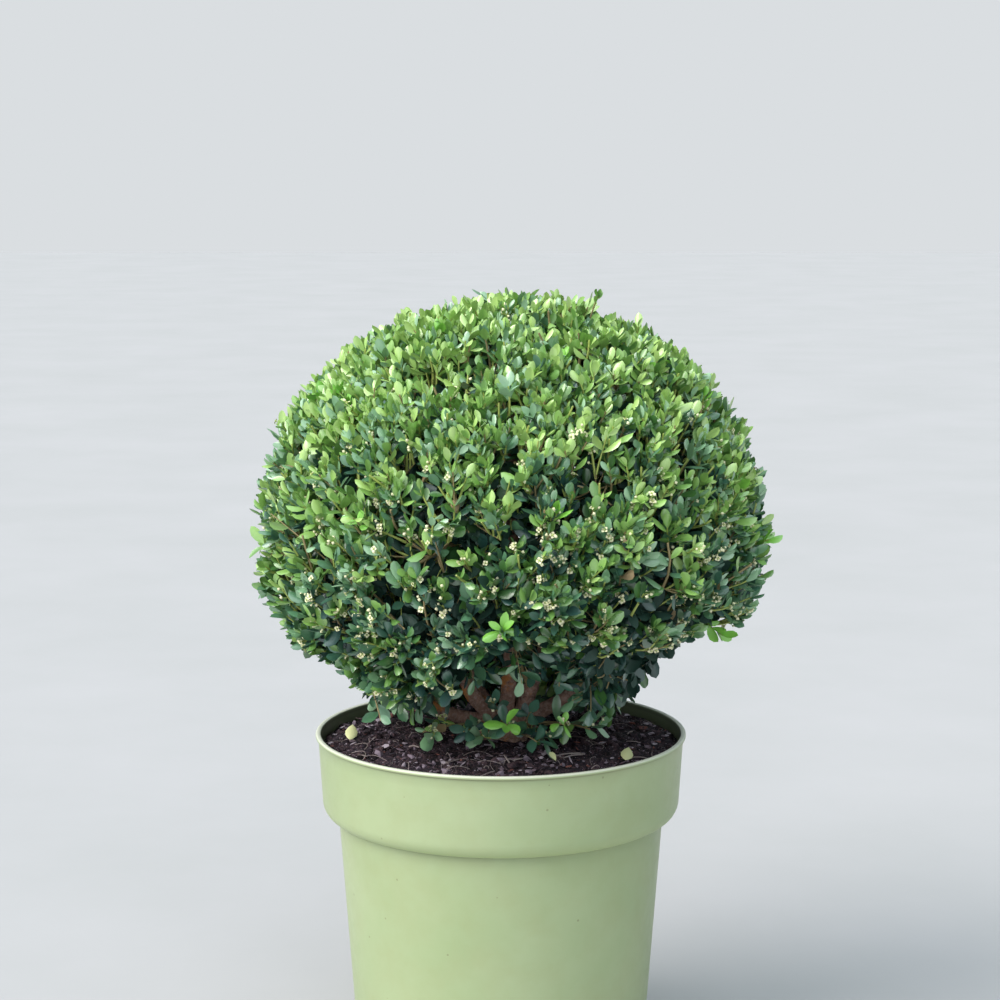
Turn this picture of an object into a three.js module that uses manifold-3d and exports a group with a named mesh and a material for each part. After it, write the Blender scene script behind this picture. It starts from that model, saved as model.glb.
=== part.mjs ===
// A japanese holly clipped to a ball, growing as seven stems from a low stump in a lime green nursery pot.
// Millimetres, +Z up. The origin is the middle of the pot's flat underside and -Y is the front.
// Azimuths are in degrees about +Z: 0 is the plant's right, 90 its back, 180 its left, 270 its front.

import * as THREE from 'three';
import { mergeVertices } from 'three/addons/utils/BufferGeometryUtils.js';
import Module from 'manifold-3d';

const wasm = await Module();
wasm.setup();

// Driving dimensions of the pot
const POT = {
  height: 250,
  rimRadius: 140,
  baseRadius: 109.4,
  wall: 2.2,
  sides: 32,
};
const COLLAR = { height: 63.5, topRadius: 138, footRadius: 135, round: 12 };
const LIP = { height: 2.4, width: 4.2 };
const FOOT = { rise: 12, padRadius: 74, skirt: 3.2, step: 3 };
const DRAIN = { count: 6, low: 31, high: 25, rise: 11, first: 15 };
const HOLE = { width: 8, length: 16 };

// Driving dimensions of the compost
const SOIL = { edge: 241, crest: 247, crestRadius: 42, shoulderRadius: 90, shoulder: 244.6 };

// Free space between neighbouring pieces
const CLEAR = 0.3;

// Points of one body are at least this far apart
const GRAIN = 2e-3;

// Driving dimensions of the clipped ball, out to its furthest leaf tips
const CROWN = {
  centre: new THREE.Vector3(8.5, 0, 397),
  across: 202,
  up: 192,
  down: 146,
  coreDepth: 0.84,
  topApothem: 80,
  topFloor: 372,
};

// The hollow under the ball: a dome round the stems, and an arch that opens it to the front
const DOME = [
  [82, 240],
  [90, 298],
  [80, 340],
  [58, 380],
  [28, 400],
  [0, 405],
];
const ARCH = { x: 18, halfWidth: 52, halfHeight: 40, middle: 278, slope: 0.2 };

// Twigs and leaves: counts over the whole ball, and sizes
const GROWTH = { seed: 41, limbs: 40, tips: 132, limbDepth: 0.6, tipDepth: 0.96, tipSpread: 0.034 };
const LEAF = { length: 31, width: 16, thick: 1.8, sunk: 1.7, widest: 0.1, spacing: 3.4 };
const TUFT = { sideLeaves: 2, lean: 0.95, leanSpread: 0.3, smallest: 0.85, sizeSpread: 0.2 };
const TWIG = { limbRadius: 3.2, footRadius: 2.2, tipRadius: 1.6 };

// The stump, with its flat cut on the compost
const STUMP = { x: 4, y: 0, flare: 27, neck: 15.5, top: 13, height: 20, ribs: 5, ribRelief: 0.16 };
const LIMB = { sides: 6, steps: 6, stubEnd: 0.13, footSwell: 1.12, taper: 0.5, rootRing: 9, rootDepth: 11 };

// Where each stem forks inside its mass, as shares of the ball
const FORK = { upShare: 0.5, outShare: 0.62, drop: 6 };

// Each stem: the azimuth and place of its bend, and its foot on the hollow's wall below its own mass
const STEMS = [
  { name: 'left', azimuth: 180, bendAzimuth: 194, bend: 58, bendHeight: 271, foot: 80, footHeight: 296,
    radius: 4.8 },
  { name: 'front_left', azimuth: 240, bendAzimuth: 203, bend: 33, bendHeight: 289, foot: 71,
    footHeight: 334, radius: 5.2 },
  { name: 'front_right', azimuth: 300, bendAzimuth: 330, bend: 26, bendHeight: 295, foot: 71,
    footHeight: 336, radius: 5.4 },
  { name: 'right', azimuth: 0, bendAzimuth: 353, bend: 50, bendHeight: 279, foot: 80, footHeight: 302,
    radius: 5.2 },
  { name: 'back_right', azimuth: 60, bendAzimuth: 48, bend: 36, bendHeight: 292, foot: 71,
    footHeight: 334, radius: 5 },
  { name: 'back_left', azimuth: 120, bendAzimuth: 134, bend: 38, bendHeight: 287, foot: 72,
    footHeight: 331, radius: 5 },
  { name: 'top', azimuth: 270, bendAzimuth: 292, bend: 9, bendHeight: 303, foot: 4, footHeight: 392,
    radius: 5.6 },
];

// Low sprays that grow from the stump's foot, out over the compost
const SPRAYS = [
  { name: 'front', azimuth: 290, length: 72, tipHeight: 258 },
  { name: 'front_left', azimuth: 250, length: 66, tipHeight: 257 },
  { name: 'left', azimuth: 216, length: 76, tipHeight: 259 },
  { name: 'right', azimuth: 322, length: 78, tipHeight: 262 },
  { name: 'back', azimuth: 84, length: 74, tipHeight: 260 },
];
const SPRAY = {
  start: 254,
  arch: 7,
  footRadius: 1.8,
  pairs: 2,
  leafScale: 0.72,
  ceiling: 273,
  outerRadius: 108,
};

const UP = new THREE.Vector3(0, 0, 1);
const GOLDEN_ANGLE = Math.PI * (3 - Math.sqrt(5));
const HALF_SLICE = Math.PI / 6;
const SLICE_AZIMUTHS = [0, 60, 120, 180, 240, 300];

// A small turn that keeps the core's facet edges off the corners of the masses' shares
const OFF_CORNER = 0.07;

function finish(colour, roughness) {
  return new THREE.MeshStandardMaterial({ color: colour, roughness, metalness: 0 });
}

const FINISHES = {
  pot: finish(0xb4c88f, 0.45),
  soil: finish(0x2b211d, 0.95),
  bark: finish(0x6f4a38, 0.85),
  foliage: finish(0x3f6b35, 0.4),
};

// Joining and cutting closed shapes

function toSolid(geometry) {
  const bare = geometry.index ? geometry.clone() : geometry;
  bare.deleteAttribute('normal');
  bare.deleteAttribute('uv');
  const merged = mergeVertices(bare, 1e-4);
  const mesh = new wasm.Mesh({
    numProp: 3,
    vertProperties: new Float32Array(merged.attributes.position.array),
    triVerts: new Uint32Array(merged.index.array),
  });
  return new wasm.Manifold(mesh);
}

function toGeometry(solid) {
  const mesh = solid.getMesh();
  const geometry = new THREE.BufferGeometry();
  geometry.setAttribute('position', new THREE.BufferAttribute(mesh.vertProperties, 3));
  geometry.setIndex(new THREE.BufferAttribute(mesh.triVerts, 1));
  geometry.computeVertexNormals();
  return geometry;
}

// Keeps the one large body: loose scraps go, and a hollow that joining has sealed is filled
function largestBody(solid) {
  let best = null;
  for (const body of solid.decompose()) {
    if (best === null || body.volume() > best.volume()) {
      best = body;
    }
  }
  return best;
}

// Whether a joined body still has two faces at every edge once points closer than a grain are one
function isSound(solid) {
  const { vertProperties: xyz, triVerts } = solid.getMesh();
  const keys = [];
  for (let index = 0; index < xyz.length; index += 3) {
    keys.push([xyz[index], xyz[index + 1], xyz[index + 2]].map((n) => Math.round(n / GRAIN)).join());
  }
  const edges = new Map();
  for (let index = 0; index < triVerts.length; index += 3) {
    const corners = [0, 1, 2].map((corner) => keys[triVerts[index + corner]]);
    if (new Set(corners).size < 3) {
      return false;
    }
    for (let corner = 0; corner < 3; corner += 1) {
      const edge = [corners[corner], corners[(corner + 1) % 3]].sort().join(' ');
      edges.set(edge, (edges.get(edge) ?? 0) + 1);
    }
  }
  return [...edges.values()].every((faces) => faces === 2);
}

// Grows a body with one seed after another until it joins soundly
function growSound(grow) {
  for (let attempt = 0; attempt < 40; attempt += 1) {
    const solid = grow(attempt);
    if (isSound(solid)) {
      return solid;
    }
  }
  throw new Error('no seed gave a sound body');
}

function fuse(solids) {
  return solids.reduce((sum, solid) => sum.add(solid));
}

// A seeded source of numbers between 0 and 1
function seededRandom(seed) {
  let state = seed >>> 0;
  return () => {
    state = (state + 0x6d2b79f5) >>> 0;
    let mixed = Math.imul(state ^ (state >>> 15), state | 1);
    mixed ^= mixed + Math.imul(mixed ^ (mixed >>> 7), mixed | 61);
    return ((mixed ^ (mixed >>> 14)) >>> 0) / 4294967296;
  };
}

function polar(radius, azimuth, height, axis = { x: 0, y: 0 }) {
  const angle = THREE.MathUtils.degToRad(azimuth);
  return new THREE.Vector3(axis.x + radius * Math.cos(angle), axis.y + radius * Math.sin(angle), height);
}

function lathe(profile, sides) {
  const points = profile.map(([radius, height]) => new THREE.Vector2(radius, height));
  const geometry = new THREE.LatheGeometry(points, sides);
  geometry.rotateX(Math.PI / 2);
  return geometry;
}

// A quarter round from straight down to straight out, as profile points
function quarterRound(centreRadius, centreHeight, radius, steps) {
  const points = [];
  for (let step = 0; step <= steps; step += 1) {
    const angle = (-Math.PI / 2) * (1 - step / steps);
    points.push([centreRadius + radius * Math.cos(angle), centreHeight + radius * Math.sin(angle)]);
  }
  return points;
}

// The pot's body radius at a height, on its outside
function bodyRadius(height) {
  const collarFoot = POT.height - COLLAR.height;
  const top = COLLAR.footRadius - COLLAR.round;
  return POT.baseRadius + ((top - POT.baseRadius) * height) / collarFoot;
}

// The pot's inside from the floor to the rim, moved in by an offset
function potInside(offset, rimRadius, rimHeight) {
  const collarFoot = POT.height - COLLAR.height;
  const inset = POT.wall + offset;
  const floor = POT.wall + offset;
  const roundCentre = COLLAR.footRadius - COLLAR.round;
  return [
    [0, floor],
    [FOOT.padRadius - inset, floor],
    [FOOT.padRadius + FOOT.step - inset, FOOT.rise + floor],
    [bodyRadius(FOOT.rise + floor) - inset, FOOT.rise + floor],
    ...quarterRound(roundCentre, collarFoot + COLLAR.round, COLLAR.round - inset, 3),
    [rimRadius, rimHeight],
  ];
}

function makePot() {
  const collarFoot = POT.height - COLLAR.height;
  const lipFoot = POT.height - LIP.height;
  const collar = quarterRound(COLLAR.footRadius - COLLAR.round, collarFoot + COLLAR.round, COLLAR.round, 3);
  const skirtInside = POT.baseRadius - FOOT.skirt;
  const profile = [
    [0, 0],
    [FOOT.padRadius, 0],
    [FOOT.padRadius + FOOT.step, FOOT.rise],
    [skirtInside - FOOT.step / 2, FOOT.rise],
    [skirtInside, 0],
    [POT.baseRadius, 0],
    ...collar,
    [COLLAR.topRadius, lipFoot],
    [POT.rimRadius, lipFoot + 0.5],
    [POT.rimRadius - 0.6, POT.height - 0.5],
    [POT.rimRadius - 1.8, POT.height],
    [POT.rimRadius - LIP.width + 0.6, POT.height - 0.3],
    ...potInside(0, POT.rimRadius - LIP.width, lipFoot).reverse(),
  ];
  let solid = toSolid(lathe(profile, POT.sides));
  for (let index = 0; index < DRAIN.count; index += 1) {
    const angle = THREE.MathUtils.degToRad(DRAIN.first + (index * 360) / DRAIN.count);
    solid = solid.subtract(toSolid(drainNotch(angle)));
    solid = solid.subtract(toSolid(drainHole(angle)));
  }
  return solid;
}

// A notch through the foot's skirt, wide at the ground and narrower above
function drainNotch(angle) {
  const below = -1;
  const shape = new THREE.Shape();
  shape.moveTo(-DRAIN.low / 2, below);
  shape.lineTo(DRAIN.low / 2, below);
  shape.lineTo(DRAIN.high / 2, DRAIN.rise);
  shape.lineTo(-DRAIN.high / 2, DRAIN.rise);
  const geometry = new THREE.ExtrudeGeometry(shape, { depth: 24, bevelEnabled: false });
  geometry.rotateX(Math.PI / 2);
  geometry.translate(0, POT.baseRadius + 8, 0);
  geometry.rotateZ(angle);
  return geometry;
}

// A slot through the raised floor behind each notch
function drainHole(angle) {
  const geometry = new THREE.BoxGeometry(HOLE.length, HOLE.width, 10);
  geometry.translate(0, (FOOT.padRadius + POT.baseRadius) / 2, FOOT.rise + 1);
  geometry.rotateZ(angle);
  return geometry;
}

// The compost fills the pot and rises to a low crest round the stump
function makeSoil() {
  const innerTop = COLLAR.topRadius - POT.wall - CLEAR - 0.5;
  const profile = [
    ...potInside(CLEAR, innerTop, SOIL.edge),
    [SOIL.shoulderRadius, SOIL.shoulder],
    [SOIL.crestRadius, SOIL.crest],
    [0, SOIL.crest],
  ];
  return toSolid(lathe(profile, POT.sides));
}

// A direction square to a given one, level where it can be
function sideways(direction) {
  const across = Math.abs(direction.z) > 0.9 ? new THREE.Vector3(0, 1, 0) : UP;
  return direction.clone().cross(across).normalize();
}

// A tapering limb: a cylinder whose rings are moved onto a stretch of a curve
function limbGeometry(curve, from, to, radiusAt, sides, steps) {
  const geometry = new THREE.CylinderGeometry(1, 1, 1, sides, steps);
  const position = geometry.attributes.position;
  for (let index = 0; index < position.count; index += 1) {
    const along = from + (to - from) * (position.getY(index) + 0.5);
    const centre = curve.getPointAt(along);
    const tangent = curve.getTangentAt(along);
    const side = sideways(tangent);
    const other = side.clone().cross(tangent);
    const radius = radiusAt(along);
    centre.addScaledVector(side, position.getX(index) * radius);
    centre.addScaledVector(other, position.getZ(index) * radius);
    position.setXYZ(index, centre.x, centre.y, centre.z);
  }
  return geometry;
}

// A stem's whole line: root in the stump, bend, foot on the hollow's wall, and fork inside its mass
function stemCurve(stem) {
  const root = stem.name === 'top' ? 0 : LIMB.rootRing;
  return new THREE.CatmullRomCurve3([
    polar(root, stem.bendAzimuth, SOIL.crest + STUMP.height - LIMB.rootDepth, STUMP),
    polar(stem.bend, stem.bendAzimuth, stem.bendHeight, STUMP),
    footPoint(stem),
    forkPoint(stem),
  ], false, 'centripetal');
}

function stemRadius(stem) {
  return (along) => stem.radius * (LIMB.footSwell - LIMB.taper * along);
}

function footPoint(stem) {
  return polar(stem.foot, stem.azimuth, stem.footHeight, CROWN.centre);
}

// Where a mass's own stem forks, well inside its core
function forkPoint(stem) {
  if (stem.name === 'top') {
    return polar(0, 0, CROWN.centre.z + CROWN.up * FORK.upShare, CROWN.centre);
  }
  return polar(CROWN.across * FORK.outShare, stem.azimuth, CROWN.centre.z - FORK.drop, CROWN.centre);
}

// The stump: a flared foot with root ribs, and a stub for each stem
function makeTrunk(grow) {
  const base = SOIL.crest + CLEAR - grow;
  const profile = [
    [0, base],
    [STUMP.flare + grow, base],
    [STUMP.flare * 0.8 + grow, base + STUMP.height * 0.22],
    [STUMP.neck + 2 + grow, base + STUMP.height * 0.55],
    [STUMP.top + grow, base + STUMP.height * 0.9 + grow],
    [0, base + STUMP.height + grow],
  ];
  const flare = lathe(profile, 15);
  const position = flare.attributes.position;
  for (let index = 0; index < position.count; index += 1) {
    const x = position.getX(index);
    const y = position.getY(index);
    const low = 1 - (position.getZ(index) - base) / (STUMP.height + grow);
    const rib = 1 + STUMP.ribRelief * low * Math.cos(STUMP.ribs * Math.atan2(y, x));
    position.setXY(index, STUMP.x + x * rib, STUMP.y + y * rib);
  }
  const stubs = STEMS.map((stem) => {
    const radiusAt = (along) => stemRadius(stem)(along) + grow;
    return toSolid(limbGeometry(stemCurve(stem), 0, LIMB.stubEnd, radiusAt, LIMB.sides, 1));
  });
  return fuse([toSolid(flare), ...stubs]);
}

// Each bough runs from its stub's end to just short of its mass's own stem, or the space it needs there
function makeBough(stem, grow) {
  const curve = stemCurve(stem);
  const skip = (CLEAR - grow) / curve.getLength();
  const radiusAt = (along) => stemRadius(stem)(along) + grow;
  return toSolid(limbGeometry(curve, LIMB.stubEnd + skip, boughEnd(stem) - skip, radiusAt, LIMB.sides,
    LIMB.steps));
}

// The share of the stem's line at which the bough enters its mass
function boughEnd(stem) {
  const curve = stemCurve(stem);
  const foot = footPoint(stem);
  const steps = 200;
  let best = 0;
  for (let step = 0; step <= steps; step += 1) {
    if (curve.getPointAt(step / steps).distanceTo(foot) < curve.getPointAt(best).distanceTo(foot)) {
      best = step / steps;
    }
  }
  return best;
}

// The ball's own measure of a point: 1 on the surface that the furthest leaf tips reach
function crownMeasure(point) {
  const offset = point.clone().sub(CROWN.centre);
  const height = offset.z > 0 ? CROWN.up : CROWN.down;
  return Math.hypot(offset.x / CROWN.across, offset.y / CROWN.across, offset.z / height);
}

// The point at a share of the ball's depth along a direction from its centre
function crownPoint(direction, depth) {
  const unit = crownMeasure(CROWN.centre.clone().add(direction));
  return CROWN.centre.clone().addScaledVector(direction, depth / unit);
}

function domeRadius(height) {
  for (let index = 1; index < DOME.length; index += 1) {
    const [lowRadius, low] = DOME[index - 1];
    const [highRadius, high] = DOME[index];
    if (height <= high) {
      return lowRadius + ((highRadius - lowRadius) * (height - low)) / (high - low);
    }
  }
  return 0;
}

function inHollow(point) {
  const radius = Math.hypot(point.x - CROWN.centre.x, point.y);
  const across = (point.x - ARCH.x) / ARCH.halfWidth;
  const rise = (point.z - ARCH.middle + ARCH.slope * point.y) / ARCH.halfHeight;
  const inArch = point.y < 0 && (Math.hypot(across, rise) < 1 || (Math.abs(across) < 1 && rise < 0));
  return radius < domeRadius(point.z) || inArch;
}

// How far a point lies out along an azimuth from the ball's axis, and how far to its side
function alongAzimuth(point, azimuth) {
  const angle = THREE.MathUtils.degToRad(azimuth);
  const x = point.x - CROWN.centre.x;
  const y = point.y - CROWN.centre.y;
  return {
    out: x * Math.cos(angle) + y * Math.sin(angle),
    aside: Math.abs(y * Math.cos(angle) - x * Math.sin(angle)),
  };
}

// The six side masses share the ball like slices of a cake round the top mass's hexagon
function inShare(stem, point) {
  if (stem.name === 'top') {
    const inHexagon = SLICE_AZIMUTHS.every((azimuth) => (
      alongAzimuth(point, azimuth).out < CROWN.topApothem - CLEAR));
    return point.z > CROWN.topFloor && inHexagon;
  }
  const { out, aside } = alongAzimuth(point, stem.azimuth);
  const toEdge = out * Math.sin(HALF_SLICE) - aside * Math.cos(HALF_SLICE);
  return out > CROWN.topApothem + CLEAR && toEdge > CLEAR;
}

// A mass keeps to its own share of the ball, clear of the hollow and of the low sprays
function inSpace(stem, point) {
  const overSprays = point.z > SPRAY.ceiling + 1 || Math.hypot(point.x, point.y) > SPRAY.outerRadius;
  return inShare(stem, point) && crownMeasure(point) < 1 && !inHollow(point) && overSprays;
}

// Directions dealt evenly over the ball by the golden angle, each nudged by the seeded source
function dealDirections(count, seed) {
  const random = seededRandom(seed);
  const directions = [];
  for (let index = 0; index < count; index += 1) {
    const nudge = 0.6 / Math.sqrt(count);
    const height = 1 - (2 * (index + 0.5)) / count;
    const angle = index * GOLDEN_ANGLE + nudge * (random() - 0.5);
    const across = Math.sqrt(1 - height * height);
    const direction = new THREE.Vector3(across * Math.cos(angle), across * Math.sin(angle), height);
    direction.z += nudge * (random() - 0.5);
    directions.push(direction.normalize());
  }
  return directions;
}

// The top mass's hexagon, seen from above
function hexagonOutline() {
  const cornerRadius = (CROWN.topApothem - CLEAR) / Math.cos(HALF_SLICE);
  return SLICE_AZIMUTHS.map((azimuth) => {
    const corner = polar(cornerRadius, azimuth + 30, 0);
    return new THREE.Vector2(corner.x, corner.y);
  });
}

// A side mass's slice, seen from above and pointing along +X
function sliceOutline() {
  const near = CROWN.topApothem + CLEAR;
  const far = CROWN.across * 1.3;
  const halfWidth = (out) => out * Math.tan(HALF_SLICE) - CLEAR / Math.cos(HALF_SLICE);
  return [
    new THREE.Vector2(near, -halfWidth(near)),
    new THREE.Vector2(far, -halfWidth(far)),
    new THREE.Vector2(far, halfWidth(far)),
    new THREE.Vector2(near, halfWidth(near)),
  ];
}

// The closed space that a mass's core is cut from
function shareGeometry(stem) {
  const isTop = stem.name === 'top';
  const floor = isTop ? CROWN.topFloor : POT.height;
  const shape = new THREE.Shape(isTop ? hexagonOutline() : sliceOutline());
  const depth = CROWN.centre.z + CROWN.up - floor;
  const geometry = new THREE.ExtrudeGeometry(shape, { depth, bevelEnabled: false });
  geometry.rotateZ(isTop ? 0 : THREE.MathUtils.degToRad(stem.azimuth));
  geometry.translate(CROWN.centre.x, CROWN.centre.y, floor);
  return geometry;
}

// The whole ball's core, with the dome and the arch cut out of it
function makeWholeCore() {
  const ball = new THREE.SphereGeometry(1, 24, 13);
  ball.rotateX(Math.PI / 2);
  ball.rotateZ(OFF_CORNER);
  const position = ball.attributes.position;
  for (let index = 0; index < position.count; index += 1) {
    const point = new THREE.Vector3().fromBufferAttribute(position, index);
    const height = point.z > 0 ? CROWN.up : CROWN.down;
    point.multiply(new THREE.Vector3(CROWN.across, CROWN.across, height)).multiplyScalar(CROWN.coreDepth);
    point.add(CROWN.centre);
    position.setXYZ(index, point.x, point.y, point.z);
  }
  const dome = lathe([[0, DOME[0][1]], ...DOME], 18);
  dome.translate(CROWN.centre.x, CROWN.centre.y, 0);
  return toSolid(ball).subtract(toSolid(dome)).subtract(toSolid(archGeometry()));
}

// A round-topped passage from the ball's axis out to its front, rising as it goes
function archGeometry() {
  const below = -1.5 * ARCH.halfHeight;
  const shape = new THREE.Shape();
  shape.moveTo(-ARCH.halfWidth, below);
  shape.lineTo(ARCH.halfWidth, below);
  shape.lineTo(ARCH.halfWidth, 0);
  shape.absellipse(0, 0, ARCH.halfWidth, ARCH.halfHeight, 0, Math.PI, false, 0);
  const depth = CROWN.across * 1.1;
  const geometry = new THREE.ExtrudeGeometry(shape, { depth, bevelEnabled: false, curveSegments: 7 });
  geometry.rotateX(Math.PI / 2);
  const position = geometry.attributes.position;
  for (let index = 0; index < position.count; index += 1) {
    const y = position.getY(index);
    position.setZ(index, position.getZ(index) + ARCH.middle - ARCH.slope * y);
  }
  geometry.translate(ARCH.x, 0, 0);
  return geometry;
}

// A pointed three-sided twig from one point to another
function twigGeometry(from, to, footRadius, tipRadius) {
  const geometry = new THREE.CylinderGeometry(tipRadius, footRadius, 1, 3, 1);
  const along = to.clone().sub(from);
  const axis = new THREE.Vector3(0, 1, 0);
  const turn = new THREE.Quaternion().setFromUnitVectors(axis, along.clone().normalize());
  const middle = from.clone().add(to).multiplyScalar(0.5);
  geometry.scale(1, along.length(), 1);
  geometry.applyQuaternion(turn);
  geometry.translate(middle.x, middle.y, middle.z);
  return geometry;
}

// A leaf of eight faces: root on the twig, widest past its middle, blade facing a given way
function leafGeometry(root, direction, facing, scale) {
  const geometry = new THREE.OctahedronGeometry(1);
  const position = geometry.attributes.position;
  const width = new THREE.Vector3().crossVectors(facing, direction).normalize();
  const thick = new THREE.Vector3().crossVectors(direction, width).normalize();
  const start = root.clone().addScaledVector(direction, -LEAF.sunk);
  for (let index = 0; index < position.count; index += 1) {
    const x = position.getX(index);
    const length = x === 0 ? 0.5 + LEAF.widest : 0.5 + x / 2;
    const point = start.clone().addScaledVector(direction, length * LEAF.length * scale);
    point.addScaledVector(width, (position.getY(index) * LEAF.width * scale) / 2);
    point.addScaledVector(thick, (position.getZ(index) * LEAF.thick * scale) / 2);
    position.setXYZ(index, point.x, point.y, point.z);
  }
  return geometry;
}

// Points over a piece that tell whether it stays in its space
function testPoints(geometry) {
  const position = geometry.attributes.position;
  const points = [];
  for (let index = 0; index < position.count; index += 1) {
    points.push(new THREE.Vector3().fromBufferAttribute(position, index));
  }
  const corners = points.length;
  for (let index = 0; index + 2 < corners; index += 3) {
    points.push(points[index].clone().add(points[index + 1]).multiplyScalar(0.5));
    points.push(points[index + 1].clone().add(points[index + 2]).multiplyScalar(0.5));
  }
  return points;
}

// Points along every bough with their radii, for keeping twigs and leaves off them
const BOUGH_POINTS = STEMS.flatMap((stem) => {
  const curve = stemCurve(stem);
  const end = boughEnd(stem);
  const steps = 30;
  return Array.from({ length: steps + 1 }, (_, index) => {
    const along = (end * index) / steps;
    return { point: curve.getPointAt(along), radius: stemRadius(stem)(along) };
  });
});

function clearOfBoughs(points) {
  const spare = 2.2;
  return BOUGH_POINTS.every((limb) => (
    points.every((point) => point.distanceTo(limb.point) > limb.radius + spare)));
}

// The leaves at a twig's end: one along the twig and the others spread round it
function tuft(tip, along, random, scale, sideLeaves) {
  const side = sideways(along);
  const roll = random() * Math.PI * 2;
  const leaves = [leafGeometry(tip, along, side.clone().applyAxisAngle(along, roll), scale)];
  for (let index = 0; index < sideLeaves; index += 1) {
    const out = side.clone().applyAxisAngle(along, roll + (index * 2 * Math.PI) / sideLeaves);
    const lean = TUFT.lean + TUFT.leanSpread * random();
    const direction = along.clone().multiplyScalar(Math.cos(lean)).addScaledVector(out, Math.sin(lean));
    const root = tip.clone().addScaledVector(along, -LEAF.spacing * (index + 0.7));
    const size = scale * (TUFT.smallest + TUFT.sizeSpread * random());
    leaves.push(leafGeometry(root, direction.normalize(), along, size));
  }
  return leaves;
}

// The limbs of one mass, from its stem's fork to their ends
function growLimbs(stem, limbEnds) {
  const fork = forkPoint(stem);
  return limbEnds
    .filter((end) => inSpace(stem, end))
    .map((end) => ({ end, geometry: twigGeometry(fork, end, TWIG.limbRadius, TWIG.footRadius) }))
    .filter(({ geometry }) => testPoints(geometry).every((point) => inShare(stem, point)));
}

// A twig with its leaves, from the nearest limb out to a tip; what would leave the mass's space is skipped
function growTwig(stem, limbs, tip, random) {
  const foot = nearest(limbs.map(({ end }) => end), tip);
  const along = tip.clone().sub(foot).normalize();
  const end = tip.clone().addScaledVector(along, LEAF.sunk - LEAF.length);
  const twig = twigGeometry(foot, end, TWIG.footRadius, TWIG.tipRadius);
  const points = testPoints(twig);
  const inCore = (point) => inShare(stem, point) && crownMeasure(point) < CROWN.coreDepth - 0.1;
  if (!points.every((point) => inSpace(stem, point) || inCore(point)) || !clearOfBoughs(points)) {
    return [];
  }
  const leaves = tuft(end, along, random, 1, TUFT.sideLeaves).filter((leaf) => {
    const leafPoints = testPoints(leaf);
    return leafPoints.every((point) => inSpace(stem, point)) && clearOfBoughs(leafPoints);
  });
  return [twig, ...leaves];
}

// One mass of the clipped ball: a core with a stem, limbs, twigs and leaves fused to it
function makeMass(stem, core, limbEnds, tips, attempt) {
  const random = seededRandom(GROWTH.seed + 7 * STEMS.indexOf(stem) + 100 * attempt);
  const share = core.intersect(toSolid(shareGeometry(stem))).subtract(makeBough(stem, CLEAR));
  const ownStem = limbGeometry(stemCurve(stem), boughEnd(stem), 1, stemRadius(stem), LIMB.sides, 3);
  const limbs = growLimbs(stem, limbEnds);
  const twigs = tips.filter((tip) => inSpace(stem, tip)).flatMap((tip) => {
    const nudged = tip.clone().add(new THREE.Vector3(random(), random(), random()));
    return growTwig(stem, limbs, nudged, random);
  });
  const geometries = [ownStem, ...limbs.map(({ geometry }) => geometry), ...twigs];
  return largestBody(fuse([share, ...geometries.map(toSolid)]));
}

function nearest(points, target) {
  return points.reduce((best, point) => (
    point.distanceTo(target) < best.distanceTo(target) ? point : best));
}

// A low spray: one arching twig from the stump's foot with leaves in pairs and a tuft at its end
function makeSpray(spray, trunkSpace, attempt) {
  const random = seededRandom(GROWTH.seed + spray.azimuth + 100 * attempt);
  const curve = new THREE.CatmullRomCurve3([
    polar(STUMP.neck * 0.7, spray.azimuth, SPRAY.start, STUMP),
    polar(spray.length * 0.55, spray.azimuth + 6, SPRAY.start + SPRAY.arch, STUMP),
    polar(spray.length, spray.azimuth, spray.tipHeight, STUMP),
  ]);
  const tuftAt = (share, sideLeaves) => (
    tuft(curve.getPointAt(share), curve.getTangentAt(share), random, SPRAY.leafScale, sideLeaves));
  const leaves = tuftAt(1, 3);
  for (let index = 0; index < SPRAY.pairs; index += 1) {
    leaves.push(...tuftAt(0.5 + (0.42 * index) / SPRAY.pairs, 2).slice(1));
  }
  const kept = leaves.filter((leaf) => {
    const points = testPoints(leaf);
    const level = points.every((point) => point.z > SOIL.crest + 1 && point.z < SPRAY.ceiling);
    return level && clearOfBoughs(points);
  });
  const radiusAt = (along) => SPRAY.footRadius * (1.1 - 0.5 * along);
  const twig = limbGeometry(curve, 0, 1, radiusAt, 3, 5);
  return largestBody(fuse([twig, ...kept].map(toSolid)).subtract(trunkSpace));
}

function addPiece(group, name, solid, material) {
  const mesh = new THREE.Mesh(toGeometry(solid), material);
  mesh.name = name;
  group.add(mesh);
}

function buildPlant() {
  const plant = new THREE.Group();
  addPiece(plant, 'pot', makePot(), FINISHES.pot);
  addPiece(plant, 'soil', makeSoil(), FINISHES.soil);
  addPiece(plant, 'trunk', makeTrunk(0), FINISHES.bark);
  const core = makeWholeCore();
  const limbEnds = dealDirections(GROWTH.limbs, GROWTH.seed).map(
    (direction) => crownPoint(direction, GROWTH.limbDepth));
  const tipDepths = seededRandom(GROWTH.seed + 2);
  const tips = dealDirections(GROWTH.tips, GROWTH.seed + 1).map(
    (direction) => crownPoint(direction, GROWTH.tipDepth + GROWTH.tipSpread * tipDepths()));
  for (const stem of STEMS) {
    addPiece(plant, `bough_${stem.name}`, makeBough(stem, 0), FINISHES.bark);
    const mass = growSound((attempt) => makeMass(stem, core, limbEnds, tips, attempt));
    addPiece(plant, `foliage_${stem.name}`, mass, FINISHES.foliage);
  }
  const trunkSpace = makeTrunk(CLEAR);
  for (const spray of SPRAYS) {
    const low = growSound((attempt) => makeSpray(spray, trunkSpace, attempt));
    addPiece(plant, `spray_${spray.name}`, low, FINISHES.foliage);
  }
  return plant;
}

export default buildPlant();
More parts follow.
